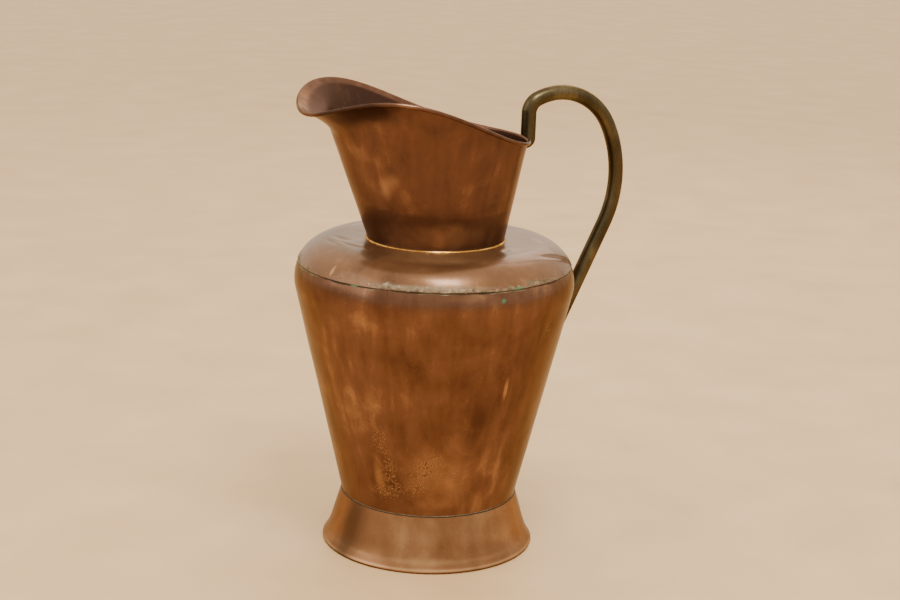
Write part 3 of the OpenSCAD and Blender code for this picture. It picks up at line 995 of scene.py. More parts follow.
@dataclass
class Vessel:
    """Sizes that the sub-assemblies share, in millimetres, read from the frame where it has them.

    Attributes:
        sheet: Thickness of the sheet.
        gap: Clearance between sheets that lap.
        wire: Radius of both iron wires.
        neck_r: Radius of the neck where it stands on the shoulder.
        round_r: Radius of the shoulder's rounding, in profile.
        seam_turn: Where the brazed seams run.
        seam_wide: Width of the brazed seams.
        foot_r: Radius of the foot at its hem.
        joint_z: Height of the foot's upper edge.
        joint_r: Radius of the body there.
        body_r: Radius of the vessel at its widest.
        body_low: Height of the body's lower edge.
        shoulder_z: Height of the shoulder's flat top.
    """

    sheet: float = 1.0
    gap: float = 0.1
    wire: float = 1.6
    neck_r: float = 94.0
    round_r: float = 56.0
    seam_turn: float = 25.0
    seam_wide: float = 3.0
    foot_r: float = field(init=False)
    joint_z: float = field(init=False)
    joint_r: float = field(init=False)
    body_r: float = field(init=False)
    body_low: float = field(init=False)
    shoulder_z: float = field(init=False)

    def __post_init__(self) -> None:
        """Reads the outer sizes from the frame."""
        foot_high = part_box("foot_skirt")[1]
        self.foot_r = foot_high.x / MM
        self.joint_z = foot_high.z / MM
        self.joint_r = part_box("foot_solder")[1].x / MM - self.gap - self.sheet
        self.body_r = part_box("body_shell")[1].y / MM + self.sheet + self.gap
        self.shoulder_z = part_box("neck_funnel")[0].z / MM
        self.body_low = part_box("body_shell")[0].z / MM

    @property
    def channel(self) -> float:
        """Radius of the hollow that a wire lies in."""
        return self.wire + self.gap

    @property
    def bead(self) -> float:
        """Radius of the sheet's outside where it goes round a wire."""
        return self.channel + self.sheet

    @property
    def round_middle(self) -> Point:
        """Centre of the shoulder's rounding, in profile."""
        return (self.body_r - self.round_r, self.shoulder_z - self.round_r)

    @property
    def body_round(self) -> float:
        """Radius of the body's rounding, inside the shoulder's."""
        return self.round_r - self.sheet - self.gap

    @property
    def taper(self) -> float:
        """Lean of the body's cone from upright, in radians."""
        run = self.round_middle[0] - self.joint_r
        rise = self.round_middle[1] - self.joint_z
        return math.atan2(run, rise) + math.asin(self.body_round / math.hypot(run, rise))

    def body_at(self, height: float) -> float:
        """Radius of the body's cone at a height."""
        return self.joint_r + math.tan(self.taper) * (height - self.joint_z)

    def seam_strip(self, name: str, outside: Sequence[Point]) -> bpy.types.Object:
        """A strip of braze that fills a seam up a turned wall, a little proud on both sides.

        Args:
            name: The piece's name.
            outside: The wall's outside line.

        Returns:
            The strip as a closed mesh.
        """
        front = [(-0.5, -0.1), (-0.25, 0.18), (0.25, 0.18), (0.5, -0.1)]
        section = front + [(share, -proud - self.sheet) for share, proud in reversed(front)]
        out, level = axes_at(self.seam_turn)
        points = [
            out * (radius + proud) + level * share * self.seam_wide + np.array([0, 0, height])
            for radius, height in outside
            for share, proud in section
        ]
        faces = tube_faces(len(outside), len(section))
        return link_object(name, mesh_from(name, np.array(points), faces))


@dataclass
class Foot:
    """The flared foot with its wired hem, its solder, and the base inside it.

    Attributes:
        vessel: The shared sizes.
        flare_z: Height where the straight wall starts to flare out.
        flare_r: Radius of the foot there.
        flare_lean: Where the flare meets the hem's roll, in degrees up from level.
        hem_turn: How far the sheet goes round the hem's wire, in degrees.
        hem_wear: How much the hem's underside is worn down.
        base_lift: How far the base lies above the body's lower edge.
        base_turn: Radius of the base's bend.
        flange: Height of the base's flange.
    """

    vessel: Vessel
    flare_z: float = 30.0
    flare_r: float = 134.5
    flare_lean: float = 36.0
    hem_turn: float = 282.0
    hem_wear: float = 0.25
    base_lift: float = 2.0
    base_turn: float = 2.5
    flange: float = 9.0

    @property
    def hem(self) -> Point:
        """Middle of the hem's wire, as a radius and a height."""
        return (self.vessel.foot_r - self.vessel.bead, self.vessel.bead - self.hem_wear)

    def wall_lines(self) -> tuple[list[Point], list[Point]]:
        """The skirt's outside and inside lines, from its top down, out along the flare, round the wire."""
        v, hem = self.vessel, self.hem
        top_r = v.joint_r + v.gap
        lean = math.radians(self.flare_lean)
        tilt = math.atan2(self.flare_r - v.sheet - top_r, v.joint_z - self.flare_z)
        end = (hem[0] + v.bead * math.cos(lean), hem[1] + v.bead * math.sin(lean))
        back = (end[0] - self.flare_r - math.tan(tilt) * (self.flare_z - end[1])) / (
            math.sin(lean) - math.tan(tilt) * math.cos(lean)
        )
        bend = (end[0] - back * math.sin(lean), end[1] + back * math.cos(lean))
        start = (self.flare_r, self.flare_z)
        outside = line_points((top_r + v.sheet, v.joint_z), start, 3)
        inside = line_points((top_r, v.joint_z), (self.flare_r - v.sheet, self.flare_z), 3)
        steps = 16
        for i in range(steps + 1):
            t = i / steps
            point = [(1 - t) ** 2 * start[k] + 2 * t * (1 - t) * bend[k] + t * t * end[k] for k in (0, 1)]
            way = [(1 - t) * (bend[k] - start[k]) + t * (end[k] - bend[k]) for k in (0, 1)]
            size = math.hypot(*way) / v.sheet
            outside.append((point[0], point[1]))
            inside.append((point[0] + way[1] / size, point[1] - way[0] / size))
        for line, radius in ((outside, v.bead), (inside, v.channel)):
            line.extend(arc_points(hem, radius, self.flare_lean - 10, self.flare_lean - self.hem_turn, 10))
        return [(r, max(0.0, z)) for r, z in outside], [(r, max(0.0, z)) for r, z in inside]

    def build(self, bench: Bench, finishes: Finishes) -> None:
        """Makes the foot's pieces and the base's."""
        v, top = self.vessel, self.vessel.joint_z
        skirt = bench.turn(
            "foot_wall", sheet_outline(*self.wall_lines()), finishes.foot, (46, 0.28), (13, 0.035), seed=2.3
        )
        # Painted shadow: the dark line all round the very bottom of the hem is the floor's contact shadow.
        # Painted reflections: the dark upright stripes at 195 and 274 degrees, the light one at 246 degrees,
        # and the light band round the flare's front at 14 mm.
        keep(skirt, "foot_copper", "foot_skirt", inside=0.8, spots=(
            marks(Trace.STAIN_AND_PAINTED_SHADE, (0, 0, ALL_ROUND, 1.6, 1.5), (195, 40, 30, 90, 0.72), (274, 40, 16, 70, 0.4))
            + marks(Trace.RUB_AND_PAINTED_LIGHT, (0, 4.6, ALL_ROUND, 1.8, 0.7), (240, 14, 300, 5, 0.4), (246, 45, 26, 40, 0.45))
        ))
        wire = bench.turn(
            "hem_wire", solid_outline(arc_points(self.hem, v.wire, 0, 330, 30)), finishes.iron,
            (20, 0.05), (4, 0.03), sides=192,
        )
        keep(wire, "iron_wire", "foot_wire")
        out = v.joint_r + v.gap + v.sheet
        bead = bench.turn("foot_joint_solder", solid_outline([
            (v.body_at(top), top - 0.4), (out + 0.2, top - 0.6), (out + 0.2, top + 0.2),
            (v.body_at(top + 1) + 0.35, top + 0.9), (v.body_at(top + 2) - 0.1, top + 1.8),
        ]), finishes.solder, (16, 0.2), (4, 0.14), seed=4.1, sides=360)
        keep(bead, "grey_solder", "foot_solder", spots=(
            marks(Trace.GREEN, (205, top, 30, 9, 0.4))
            + marks(Trace.STAIN_AND_PAINTED_SHADE, (246, top, 900, 30, 0.3), (246, top - 0.4, 900, 0.9, 1.4))
        ))
        strip = v.seam_strip("foot_seam", line_points((out, v.joint_z), (self.flare_r, self.flare_z), 3))
        strip = bench.hammer(strip, finishes.braze, (9, 0.12), (3, 0.1))
        keep(strip, "gold_braze", "foot_seam_braze")
        self.build_base(bench, finishes)

    def build_base(self, bench: Bench, finishes: Finishes) -> None:
        """Makes the base disc, sagged a little, and the solder round its flange."""
        v, turn = self.vessel, self.base_turn
        low = v.body_low + self.base_lift
        edge = v.body_at(low) - v.sheet - v.gap
        top = low + self.flange
        rim = v.body_at(top) - v.sheet - v.gap
        bend = (edge - turn, low + turn)
        wall = line_points((edge + 0.1, bend[1] + 0.1), (rim, top), 3) + [(rim, top)]
        under = arc_points(bend, turn, -90, -20, 20) + wall
        over = arc_points(bend, turn - v.sheet, -90, -20, 20) + [(r - v.sheet, z) for r, z in wall]
        disc = turned_solid("base_plate", tray_outline(under, over, 4.0), 192)
        disc = bench.hammer(disc, finishes.base, (50, 0.5), (16, 0.06), 7.7)
        keep(disc, "base_copper", "base_disc")
        solder = bench.turn("base_joint_solder", solid_outline([
            (rim - v.sheet - 0.1, top - 0.2), (rim + 0.1, top - 0.2),
            (v.body_at(top + 3) - v.sheet, top + 2.8), (rim - 0.5, top + 0.9),
        ]), finishes.solder, (14, 0.2), (4, 0.12), seed=8.8)
        keep(solder, "grey_solder", "base_solder")


@dataclass
class Body:
    """The tapering body and the shoulder that laps over it.

    Attributes:
        vessel: The shared sizes.
        seam: Where the shoulder's edge lies on the rounding, in degrees up from level.
        lap: How far the body goes on under the shoulder, in degrees of the rounding.
        collar: Height of the shoulder's collar, inside the neck.
        collar_turn: Radius of the bend up to the collar.
        solder_below: How far the solder shows below the seam, in degrees of the rounding.
        solder_above: How far it was smeared over the shoulder, in the same degrees.
        dents: Size and depth of the broad unevenness, shared so that the lapped sheets stay together.
        seed: The pattern of that unevenness.
        fine_sides: Steps of the turn where the light shows them.
    """

    vessel: Vessel
    seam: float = 26.0
    lap: float = 8.0
    collar: float = 8.0
    collar_turn: float = 1.2
    solder_below: float = 2.4
    solder_above: float = 9.0
    dents: Point = (64, 0.55)
    seed: float = 1.4
    fine_sides: int = 480

    def body_line(self, inset: float) -> list[Point]:
        """The body's line from its lower edge to its upper, moved in by an inset."""
        v = self.vessel
        low = (v.body_at(v.body_low) - inset / math.cos(v.taper), v.body_low)
        bow = arc_points(
            v.round_middle, v.body_round - inset, -math.degrees(v.taper), self.seam + self.lap, 3
        )
        return line_points(low, bow[0], 3.2) + bow

    def shoulder_line(self, inset: float) -> list[Point]:
        """The shoulder's line from its lower edge to the top of its collar, moved in by an inset."""
        v, top, bend, step = self.vessel, self.vessel.shoulder_z, self.collar_turn, 1.8
        turn = bend + inset
        radius = v.neck_r - v.sheet - v.gap - inset
        end = (radius, top + self.collar)
        line = arc_points(v.round_middle, v.round_r - inset, self.seam, 90, step)
        line += line_points((v.round_middle[0] - 2, top - inset), (radius + turn, top - inset), step)
        line += arc_points((radius + turn, top + bend), turn, -90, -180, 30)
        return line + line_points((radius, top + bend + 0.6), end, 2) + [end]

    def build(self, bench: Bench, finishes: Finishes) -> None:
        """Makes the body's and the shoulder's pieces."""
        v = self.vessel
        shell = bench.turn(
            "body_wall", sheet_outline(self.body_line(0), self.body_line(v.sheet)), finishes.body,
            self.dents, (15, 0.035), self.seed, sides=320,
        )
        press(
            shell.data,
            (272, 156, 217, 26, 13, 0.5, 70), (303, 181, 330, 12, 6, 0.9, 60),
            (199, 180, 360, 26, 16, 0.6, 20), (246, 165, 270, 40, 24, 0.4, 80),
            (150, 150, 200, 30, 18, 0.7, 60), (60, 170, 300, 34, 16, 0.8, 30),
        )
        # Painted reflections on the body's front: the light upright stripe at 217 degrees, the broad light
        # patch at 252 degrees, the faint light stripe at 262 degrees, the darker upright zone at 270 degrees,
        # and the light band just under the seam at 262 degrees, 390 mm.
        keep(shell, "body_copper", "body_shell", inside=0.7, spots=(
            marks(
                Trace.PITS, (219.5, 184, 11, 20, 1.3), (224, 142, 11, 24, 1.2), (224, 110, 14, 16, 1.4),
                (248, 152, 20, 17, 1.3), (240, 118, 20, 26, 1.1), (304, 328, 8, 12), (262, 140, 5, 5),
                (216, 104, 24, 8, 0.9),
            )
            + marks(
                Trace.STAIN_AND_PAINTED_SHADE, (272, 217, 10, 17, 0.55), (270, 260, 26, 70, 0.3), (228, 118, 16, 26, 0.5),
                (239, 100, 18, 14, 0.35), (210, 385, 20, 26, 0.35),
            )
            + marks(
                Trace.RUB_AND_PAINTED_LIGHT, (217, 130, 9, 32, 0.45), (252, 130, 60, 80, 0.45), (262, 300, 14, 90, 0.2),
                (283, 257, 3, 18, 0.8), (262, 390, 60, 6, 0.3),
            )
            + marks(Trace.GREEN, (274.8, 386, 3.4, 3.4, 1.2))
        ))
        strip = v.seam_strip("body_seam", self.body_line(0)[4:-12])
        strip = bench.hammer(strip, finishes.braze, (9, 0.12), (3, 0.1), 3.3)
        keep(strip, "gold_braze", "body_seam_braze")
        self.build_shoulder(bench, finishes)
        self.build_solder(bench, finishes)

    def build_shoulder(self, bench: Bench, finishes: Finishes) -> None:
        """Makes the shoulder, creased where it was knocked."""
        v, top = self.vessel, self.vessel.shoulder_z
        dome = bench.turn(
            "shoulder_dome", sheet_outline(self.shoulder_line(0), self.shoulder_line(v.sheet)),
            finishes.shoulder, self.dents, (13, 0.05), self.seed, self.fine_sides,
        )
        press(
            dome.data,
            (186, 128, top, 24, 3.6, 1.7, 16), (174, 146, top, 22, 4, 1.2, 8),
            (192, 120, top, 16, 7, -0.9, 14), (178, 137, top, 26, 9, -0.9, 6),
            (166, 128, top, 16, 4, 1.3, 30), (197, 112, top, 12, 4, 1.4, -20),
            (308, 132, top, 30, 5, 1.5, -24), (316, 168, top - 8, 28, 5, 1.6, -30),
            (301, 116, top, 12, 6, 1.6), (322, 150, top, 24, 11, -0.9, -20),
            (334, 138, top, 20, 5, 1.0, 24), (246, 150, top, 60, 14, 0.5),
            (262, 160, top - 6, 34, 9, -0.5, 6), (90, 140, top, 34, 12, 0.9, 20),
            (20, 150, top, 30, 14, 0.9, -10), (120, 128, top, 20, 5, 1.1, -14),
        )
        # Painted highlight: a pale grey sheen along the front of the rounding, at 246 degrees, 402 mm.
        # Painted light: the flat top's front near the neck is lightened, over the shade and the dark
        # reflection of the neck that fall there.
        keep(dome, "shoulder_copper", "shoulder", inside=0.7, spots=(
            marks(Trace.GREY_PAINTED_SHEEN, (246, 402, 120, 6, 0.55)) + marks(Trace.GREEN, (60, 401, 300, 4, 0.45))
            + marks(Trace.RUB_AND_PAINTED_LIGHT, (199.5, 408, 3, 7, 0.9), (246, top, 80, 4, 0.5))
            + marks(Trace.STAIN_AND_PAINTED_SHADE, (0, top + 11, 900, 5, 1.4))
        ))

    def sway(self, mesh: bpy.types.Mesh) -> None:
        """Lets the solder's line wander a little up and down the rounding, as it ran while soft."""
        where = points_of(mesh)
        bearing = np.arctan2(where[:, 1], where[:, 0])
        waves = ((5, 0.5, 0.4), (11, 0.5, 1.9), (23, 0.45, 4.0), (41, 0.35, 2.2), (73, 0.25, 5.1))
        shift = sum(size * np.sin(count * bearing + start) for count, size, start in waves) * MM
        lean = math.radians(self.seam)
        ring = np.hypot(where[:, 0], where[:, 1])
        where[:, :2] *= (1 - shift * math.sin(lean) / ring)[:, None]
        where[:, 2] += shift * math.cos(lean)
        move_points(mesh, where)

    def build_solder(self, bench: Bench, finishes: Finishes) -> None:
        """Makes the solder under the shoulder's edge and the drops that ran from it."""
        v, seam = self.vessel, self.seam
        below, above = seam - self.solder_below, seam + self.solder_above
        under = arc_points(v.round_middle, v.body_round - 0.2, below, seam - 0.3, 0.7)
        under += arc_points(v.round_middle, v.round_r - 0.25, seam + 0.2, above, 0.8)
        over = arc_points(v.round_middle, v.body_round + 0.25, below, seam - 0.9, 0.6)
        over += arc_points(v.round_middle, v.round_r - 0.55, seam - 0.5, seam, 0.5)
        steps = 13
        for i in range(steps + 1):
            share = i / steps
            proud, at = v.round_r + 0.12 - 0.3 * share, math.radians(seam + 0.4 + share * 8.4)
            over.append((v.round_middle[0] + proud * math.cos(at), v.round_middle[1] + proud * math.sin(at)))
        smear = bench.turn(
            "shoulder_joint_solder", sheet_outline(over, under), finishes.solder, self.dents, (5, 0.42),
            self.seed, self.fine_sides,
        )
        self.sway(smear.data)
        press(
            smear.data,
            (203, 184, 405, 44, 9, 0.5), (328, 184, 406, 60, 10, 0.4), (120, 184, 405, 90, 9, 0.45),
            (20, 184, 405, 70, 9, 0.35), (256, 182, 409, 26, 4, 0.25), (226, 182, 408, 20, 3, 0.2),
        )
        keep(smear, "grey_solder", "shoulder_solder", sharp=60, spots=(
            marks(Trace.GREEN, (213, 400, 8, 6), (236, 404, 20, 3, 0.6), (282, 400, 14, 4, 0.7))
            + marks(
                Trace.STAIN_AND_PAINTED_SHADE, (246, 397.4, 900, 1.3, 0.7), (205, 397.4, 34, 1.8), (236, 397.6, 16, 1.8),
                (262, 397.2, 24, 1.8), (298, 397.4, 30, 1.8),
            )
        ))
        band = arc_points(v.round_middle, v.round_r + 0.02, seam - 1, seam + 7, 1)
        floor = [(r - 0.02, z) for r, z in band]
        strip = bench.turn(
            "solder_drops", sheet_outline(band, floor), finishes.solder, (9, 0), (9, 0), sides=96
        )
        drops = bench.drops.run(strip, {
            "Density": 11000.0, "Drop radius": 1.3 * MM, "Scatter seed": 5, "Finish": finishes.solder,
        })
        keep(drops, "grey_solder")


@dataclass
class Neck:
    """The funnel neck with its turned-out lip, its wired rim and the gold ring at its foot.

    Angles in its methods are in degrees from the spout, -180 to 180.

    Attributes:
        vessel: The shared sizes.
        band: Height of the straight band at its foot.
        opening: How far the wall opens for each millimetre of height.
        lean: How much more it opens at the spout, and less at the handle.
        back: Height of the rim at the handle.
        rise: How much higher the rim is towards the spout.
        lateness: How late that rise comes, 1 being even.
        dip: How far the rim dips at the spout's tip.
        dip_angle: Half width of the dip.
        lip_out: How far the lip is turned out at its tip.
        lip_angle: Half width of the lip.
        lip_depth: Height over which the lip turns out.
        curl: How far the sheet goes round the rim's wire, in degrees.
    """

    vessel: Vessel
    band: float = 4.0
    opening: float = 0.275
    lean: float = 0.09
    back: float = 138.0
    rise: float = 122.0
    lateness: float = 1.8
    dip: float = 81.0
    dip_angle: float = 41.0
    lip_out: float = 32.0
    lip_angle: float = 48.0
    lip_depth: float = 34.0
    curl: float = 275.0

    def rim_at(self, a: float) -> float:
        """Height of the rim at an angle."""
        lift = self.rise * ((1 + math.cos(math.radians(a))) / 2) ** self.lateness
        dip = self.dip * math.exp(-((a / self.dip_angle) ** 2))
        return self.vessel.shoulder_z + self.back - self.vessel.bead + lift - dip

    def slope(self, a: float) -> float:
        """How far the wall opens for each millimetre of height."""
        return self.opening + self.lean * math.cos(math.radians(a))

    def lip(self, a: float) -> float:
        """How far the lip is turned out."""
        return self.lip_out * math.exp(-((a / self.lip_angle) ** 2))

    def wall_at(self, a: float, z: float) -> float:
        """Radius of the wall's outside at an angle and a height."""
        share = max(0.0, 1 - (self.rim_at(a) - z) / self.lip_depth)
        straight = max(0.0, z - self.vessel.shoulder_z - self.band)
        return self.vessel.neck_r + straight * self.slope(a) + self.lip(a) * share**2

    def tilt(self, a: float) -> float:
        """Lean of the wall at the rim, in radians from upright."""
        return math.atan(self.slope(a) + 2 * self.lip(a) / self.lip_depth)

    def wire_middle(self, a: float) -> Point:
        """Middle of the rim's wire, as a radius and a height."""
        v, tilt = self.vessel, self.tilt(a)
        return (
            self.wall_at(a, self.rim_at(a)) + v.channel * math.cos(tilt),
            self.rim_at(a) - v.channel * math.sin(tilt),
        )

    def section(self, a: float) -> Outline:
        """The wall's outline at an angle, from the shoulder up and over the wire."""
        v, rim = self.vessel, self.rim_at(a)
        low, bend = v.shoulder_z, rim - self.lip_depth
        wall_steps, lip_steps = 36, 16
        heights = [low, low + self.band / 2]
        heights += [low + self.band + (bend - low - self.band) * i / wall_steps for i in range(wall_steps)]
        heights += [bend + self.lip_depth * i / lip_steps for i in range(lip_steps)]
        start = 180 - math.degrees(self.tilt(a))
        outside, inside = (
            [(self.wall_at(a, z) - inset, z) for z in heights]
            + arc_points(self.wire_middle(a), radius, start, start - self.curl, 15)
            for inset, radius in ((0, v.channel), (v.sheet, v.bead))
        )
        return sheet_outline(outside, inside)

    def skinned(self, name: str, around: int, outline_at: Callable[[float], Outline]) -> bpy.types.Object:
        """Skins a closed ring over one outline for each angle round the axis.

        Args:
            name: The piece's name.
            around: How many outlines there are.
            outline_at: Gives the outline at an angle.

        Returns:
            The closed ring.
        """
        angles = 360 * np.arange(around) / around
        rows = np.array([outline_at(a if a <= 180 else a - 360) for a in angles.tolist()])
        bearing = np.radians(180 + angles)[:, None]
        points = np.stack([
            rows[:, :, 0] * np.cos(bearing), rows[:, :, 0] * np.sin(bearing), rows[:, :, 1]
        ], axis=2).reshape(-1, 3)
        mesh = mesh_from(name, points, loop_faces(around, rows.shape[1], closed=True))
        store(mesh, "skin", rows[:, :, 2].ravel())
        return link_object(name, mesh)

    def depth_inside(self, mesh: bpy.types.Mesh) -> np.ndarray:
        """How far each point lies below the rolled rim: 0 on the roll, 1 from a little under it."""
        where = points_of(mesh) / MM
        from_handle = np.degrees(np.arctan2(where[:, 1], where[:, 0]))
        rims = np.array([self.rim_at(a) for a in from_handle % 360 - 180])
        return np.clip((rims - where[:, 2] - 3) / 5, 0, 1)

    def build(self, bench: Bench, finishes: Finishes) -> None:
        """Makes the neck's pieces."""
        v, low = self.vessel, self.vessel.shoulder_z
        funnel = self.skinned("neck_wall", 320, self.section)
        funnel = bench.hammer(funnel, finishes.neck, (60, 0.5), (14, 0.04), 9.1)
        press(
            funnel.data,
            (222, 113, 487, 26, 12, 0.5, 10), (205, 130, 535, 16, 30, 0.7, 70),
            (262, 105, 460, 20, 10, 0.6, 60), (60, 115, 520, 26, 14, 0.6, 40),
        )
        # Painted shade: darker upright zones down the neck's sides, at 196 and 296 degrees, and darker metal
        # under the turned-out lip, at 198 and 213 degrees.
        spots = marks(
            Trace.STAIN_AND_PAINTED_SHADE, (196, 530, 22, 70, 0.3), (296, 520, 26, 70, 0.3), (213, 622, 36, 17, 1.3),
            (198, 606, 26, 14, 0.9),
        )
        # Painted light: the neck's lower front, at 246 degrees, is lightened over the shade that falls round
        # its foot.
        spots += marks(
            Trace.RUB_AND_PAINTED_LIGHT, (218, 527, 20, 16, 0.42), (212, 508, 14, 14, 0.4), (246, low + 18, 120, 24, 0.7),
            (262, low + 26, 12, 12, 0.3),
        )
        spots += marks(Trace.PITS, (262, 500, 12, 16, 0.35))
        keep(
            funnel, "neck_copper", "neck_funnel", spots=spots,
            bands=[Band(Trace.STAIN_AND_PAINTED_SHADE, low + 46, 9, 215, 1.6, 0.36)],
            inside=self.depth_inside(funnel.data) * 0.85,
        )
        wire = self.skinned("rim_iron_wire", 240, lambda a: solid_outline(
            arc_points(self.wire_middle(a), v.wire, 0, -330, 30)
        ))
        wire = bench.hammer(wire, finishes.iron, (20, 0.04), (4, 0.03), 2.0)
        keep(wire, "iron_wire", "rim_wire")
        ring = bench.turn("neck_gold_ring", solid_outline([
            (v.neck_r - 0.1, low - 0.1), (v.neck_r + 1.5, low - 0.2), (v.neck_r + 1.6, low + 0.3),
            (v.neck_r + 1.1, low + 1.1), (v.neck_r + 0.4, low + 1.6), (v.neck_r - 0.1, low + 1.7),
        ]), finishes.braze, (14, 0.3), (4, 0.22), seed=3.7, sides=360)
        keep(ring, "gold_braze", "neck_solder")


class Place(NamedTuple):
    """Where a flat end lies on the wall: the wall's radius and height at its top, and the wall's slope."""

    radius: float
    height: float
    slope: float


class Stop(NamedTuple):
    """A stop along the tube: its middle, its direction, how flat it is, and its share of the full width."""

    middle: Point
    way: Point
    flat: float = 0.0
    share: float = 1.0


@dataclass
class Handle:
    """The bent brass tube, hammered flat at both ends and riveted on.

    Points in its methods lie in the plane of the handle, as a distance from the axis and a height.

    Attributes:
        vessel: The shared sizes.
        neck: The neck that it starts from.
        tube: Radius of the tube.
        drop_r: Radius of the short bend behind the rim, at the tube's middle.
        crown_r: Radius of the crown bend.
        back_r: Radius of the long bend down the back.
        crown_up: Height of the crown bend's centre over the shoulder.
        drop_start: Where the short bend goes over into the crown bend, in degrees.
        crown_end: Where the crown bend goes over into the long bend, in degrees.
        leg_lean: Lean of the straight leg, in degrees from upright.
        flat_t: Thickness of the flat ends.
        flat_w: Their width.
        flat_l: Their length, but for the rounded tip.
        squash_l: Length over which the tube is flattened.
        hold: Share of that length that the tube keeps its direction for.
        off_wall: Clearance between a flat end and the wall.
        rivet_down: The first rivet's distance below the top of the flat.
        rivet_gap: Distance between the rivets.
        rivet_r: Radius of their shanks.
        head_r: Radius of their heads.
        head_h: Height of their heads.
        burr_r: Radius of the washers.
        burr_t: Thickness of the washers.
        ring_sides: Points round the tube.
    """

    vessel: Vessel
    neck: Neck
    tube: float = 10.25
    drop_r: float = 22.0
    crown_r: float = 83.5
    back_r: float = 160.0
    crown_up: float = 109.5
    drop_start: float = 115.0
    crown_end: float = 27.0
    leg_lean: float = 25.4
    flat_t: float = 2.6
    flat_w: float = 30.0
    flat_l: float = 24.0
    squash_l: float = 22.0
    hold: float = 0.33
    off_wall: float = 0.15
    rivet_down: float = 5.0
    rivet_gap: float = 18.0
    rivet_r: float = 2.4
    head_r: float = 5.5
    head_h: float = 2.4
    burr_r: float = 6.0
    burr_t: float = 1.2
    ring_sides: int = 40

    def places(self) -> dict[str, Place]:
        """Where the upper and the lower flat end lie."""
        v, n = self.vessel, self.neck
        slope = n.slope(180)
        upper_z = self.drop_end()[1] - self.squash_l * 0.75
        lower_z = self.leg_ends()[1][1] - self.squash_l
        return {
            "upper": Place(v.neck_r + (upper_z - v.shoulder_z - n.band) * slope, upper_z, slope),
            "lower": Place(v.body_at(lower_z), lower_z, math.tan(v.taper)),
        }

    def drop_end(self) -> Point:
        """Where the tube, coming down behind the rim, starts to flatten."""
        rim = self.neck.wire_middle(180)
        return (rim[0] + self.vessel.bead + 0.5 + self.tube, rim[1] - self.vessel.bead - 1)

    def bends(self) -> tuple[Point, Point, Point]:
        """Centres of the short bend, the crown bend and the long bend."""
        drop_x = self.drop_end()[0] + self.drop_r
        crown_z = self.vessel.shoulder_z + self.crown_up
        start, end = math.radians(self.drop_start), math.radians(self.crown_end)
        inner, outer = self.crown_r - self.drop_r, self.crown_r - self.back_r
        crown_x = drop_x - inner * math.cos(start)
        return (
            (drop_x, crown_z + inner * math.sin(start)),
            (crown_x, crown_z),
            (crown_x + outer * math.cos(end), crown_z + outer * math.sin(end)),
        )

    def leg_ends(self) -> tuple[Point, Point]:
        """Upper and lower end of the straight leg."""
        v, lean = self.vessel, math.radians(self.leg_lean)
        back = self.bends()[2]
        top = (back[0] + self.back_r * math.cos(lean), back[1] - self.back_r * math.sin(lean))
        off = self.tube + 3
        length = (top[0] - v.body_at(top[1]) - off) / (math.sin(lean) - math.tan(v.taper) * math.cos(lean))
        return top, (top[0] - length * math.sin(lean), top[1] - length * math.cos(lean))

    def flattening(self, start: Point, way: Point, place: Place) -> list[Stop]:
        """Stops from the round tube's end down to the rounded tip of its flat end.

        Args:
            start: Where the tube is still round.
            way: The tube's direction there.
            place: Where the flat end lies.

        Returns:
            The stops.
        """
        lean = math.atan(place.slope)
        down = (-math.sin(lean), -math.cos(lean))
        lift = self.off_wall + self.flat_t / 2
        top = (place.radius + lift * math.cos(lean), place.height - lift * math.sin(lean))
        reach = self.squash_l * self.hold
        hold = [start, (start[0] + way[0] * reach, start[1] + way[1] * reach),
                (top[0] - down[0] * reach, top[1] - down[1] * reach), top]
        stops = []
        steps = 14
        for i in range(1, steps):
            t = i / steps
            weights = ((1 - t) ** 3, 3 * t * (1 - t) ** 2, 3 * t * t * (1 - t), t**3)
            middle = tuple(sum(w * p[k] for w, p in zip(weights, hold)) for k in (0, 1))
            pulls = ((1 - t) ** 2, 2 * t * (1 - t), t * t)
            heading = tuple(
                sum(w * (after[k] - before[k]) for w, before, after in zip(pulls, hold, hold[1:]))
                for k in (0, 1)
            )
            stops.append(Stop(middle, heading, t * t * (3 - 2 * t)))
        stops.append(Stop(top, down, 1.0))
        tip, narrowest = self.flat_w / 2 - 1, 0.12
        shares = [-1.6, -1.2, -0.8, -0.4] + [math.sin(math.radians(d)) for d in range(0, 90, 9)] + [0.998]
        for share in shares:
            run = self.flat_l + share * tip
            width = 1.0 if share <= 0 else max(narrowest, math.sqrt(1 - share * share))
            stops.append(Stop((top[0] + down[0] * run, top[1] + down[1] * run), down, 1.0, width))
        return stops

    def stops(self) -> list[Stop]:
        """Every stop along the tube, from its upper tip to its lower tip."""
        places = self.places()
        drop, crown, back = self.bends()
        upper = [Stop(self.drop_end(), (0.0, -1.0))]
        upper += self.flattening(self.drop_end(), (0.0, -1.0), places["upper"])
        stops = [stop._replace(way=(-stop.way[0], -stop.way[1])) for stop in reversed(upper)]
        for middle, radius, first, last, step in (
            (drop, self.drop_r, 174.0, self.drop_start + 5, 6),
            (crown, self.crown_r, self.drop_start, self.crown_end + 2, 2.5),
            (back, self.back_r, self.crown_end, -self.leg_lean, 2.5),
        ):
            count = math.ceil((first - last) / step)
            for i in range(count + 1):
                a = math.radians(first + (last - first) * i / count)
                point = (middle[0] + radius * math.cos(a), middle[1] + radius * math.sin(a))
                stops.append(Stop(point, (math.sin(a), -math.cos(a))))
        top, end = self.leg_ends()
        way = (-math.sin(math.radians(self.leg_lean)), -math.cos(math.radians(self.leg_lean)))
        stops += [Stop(point, way) for point in line_points(top, end, 4)[1:] + [end]]
        return stops + self.flattening(end, way, places["lower"])

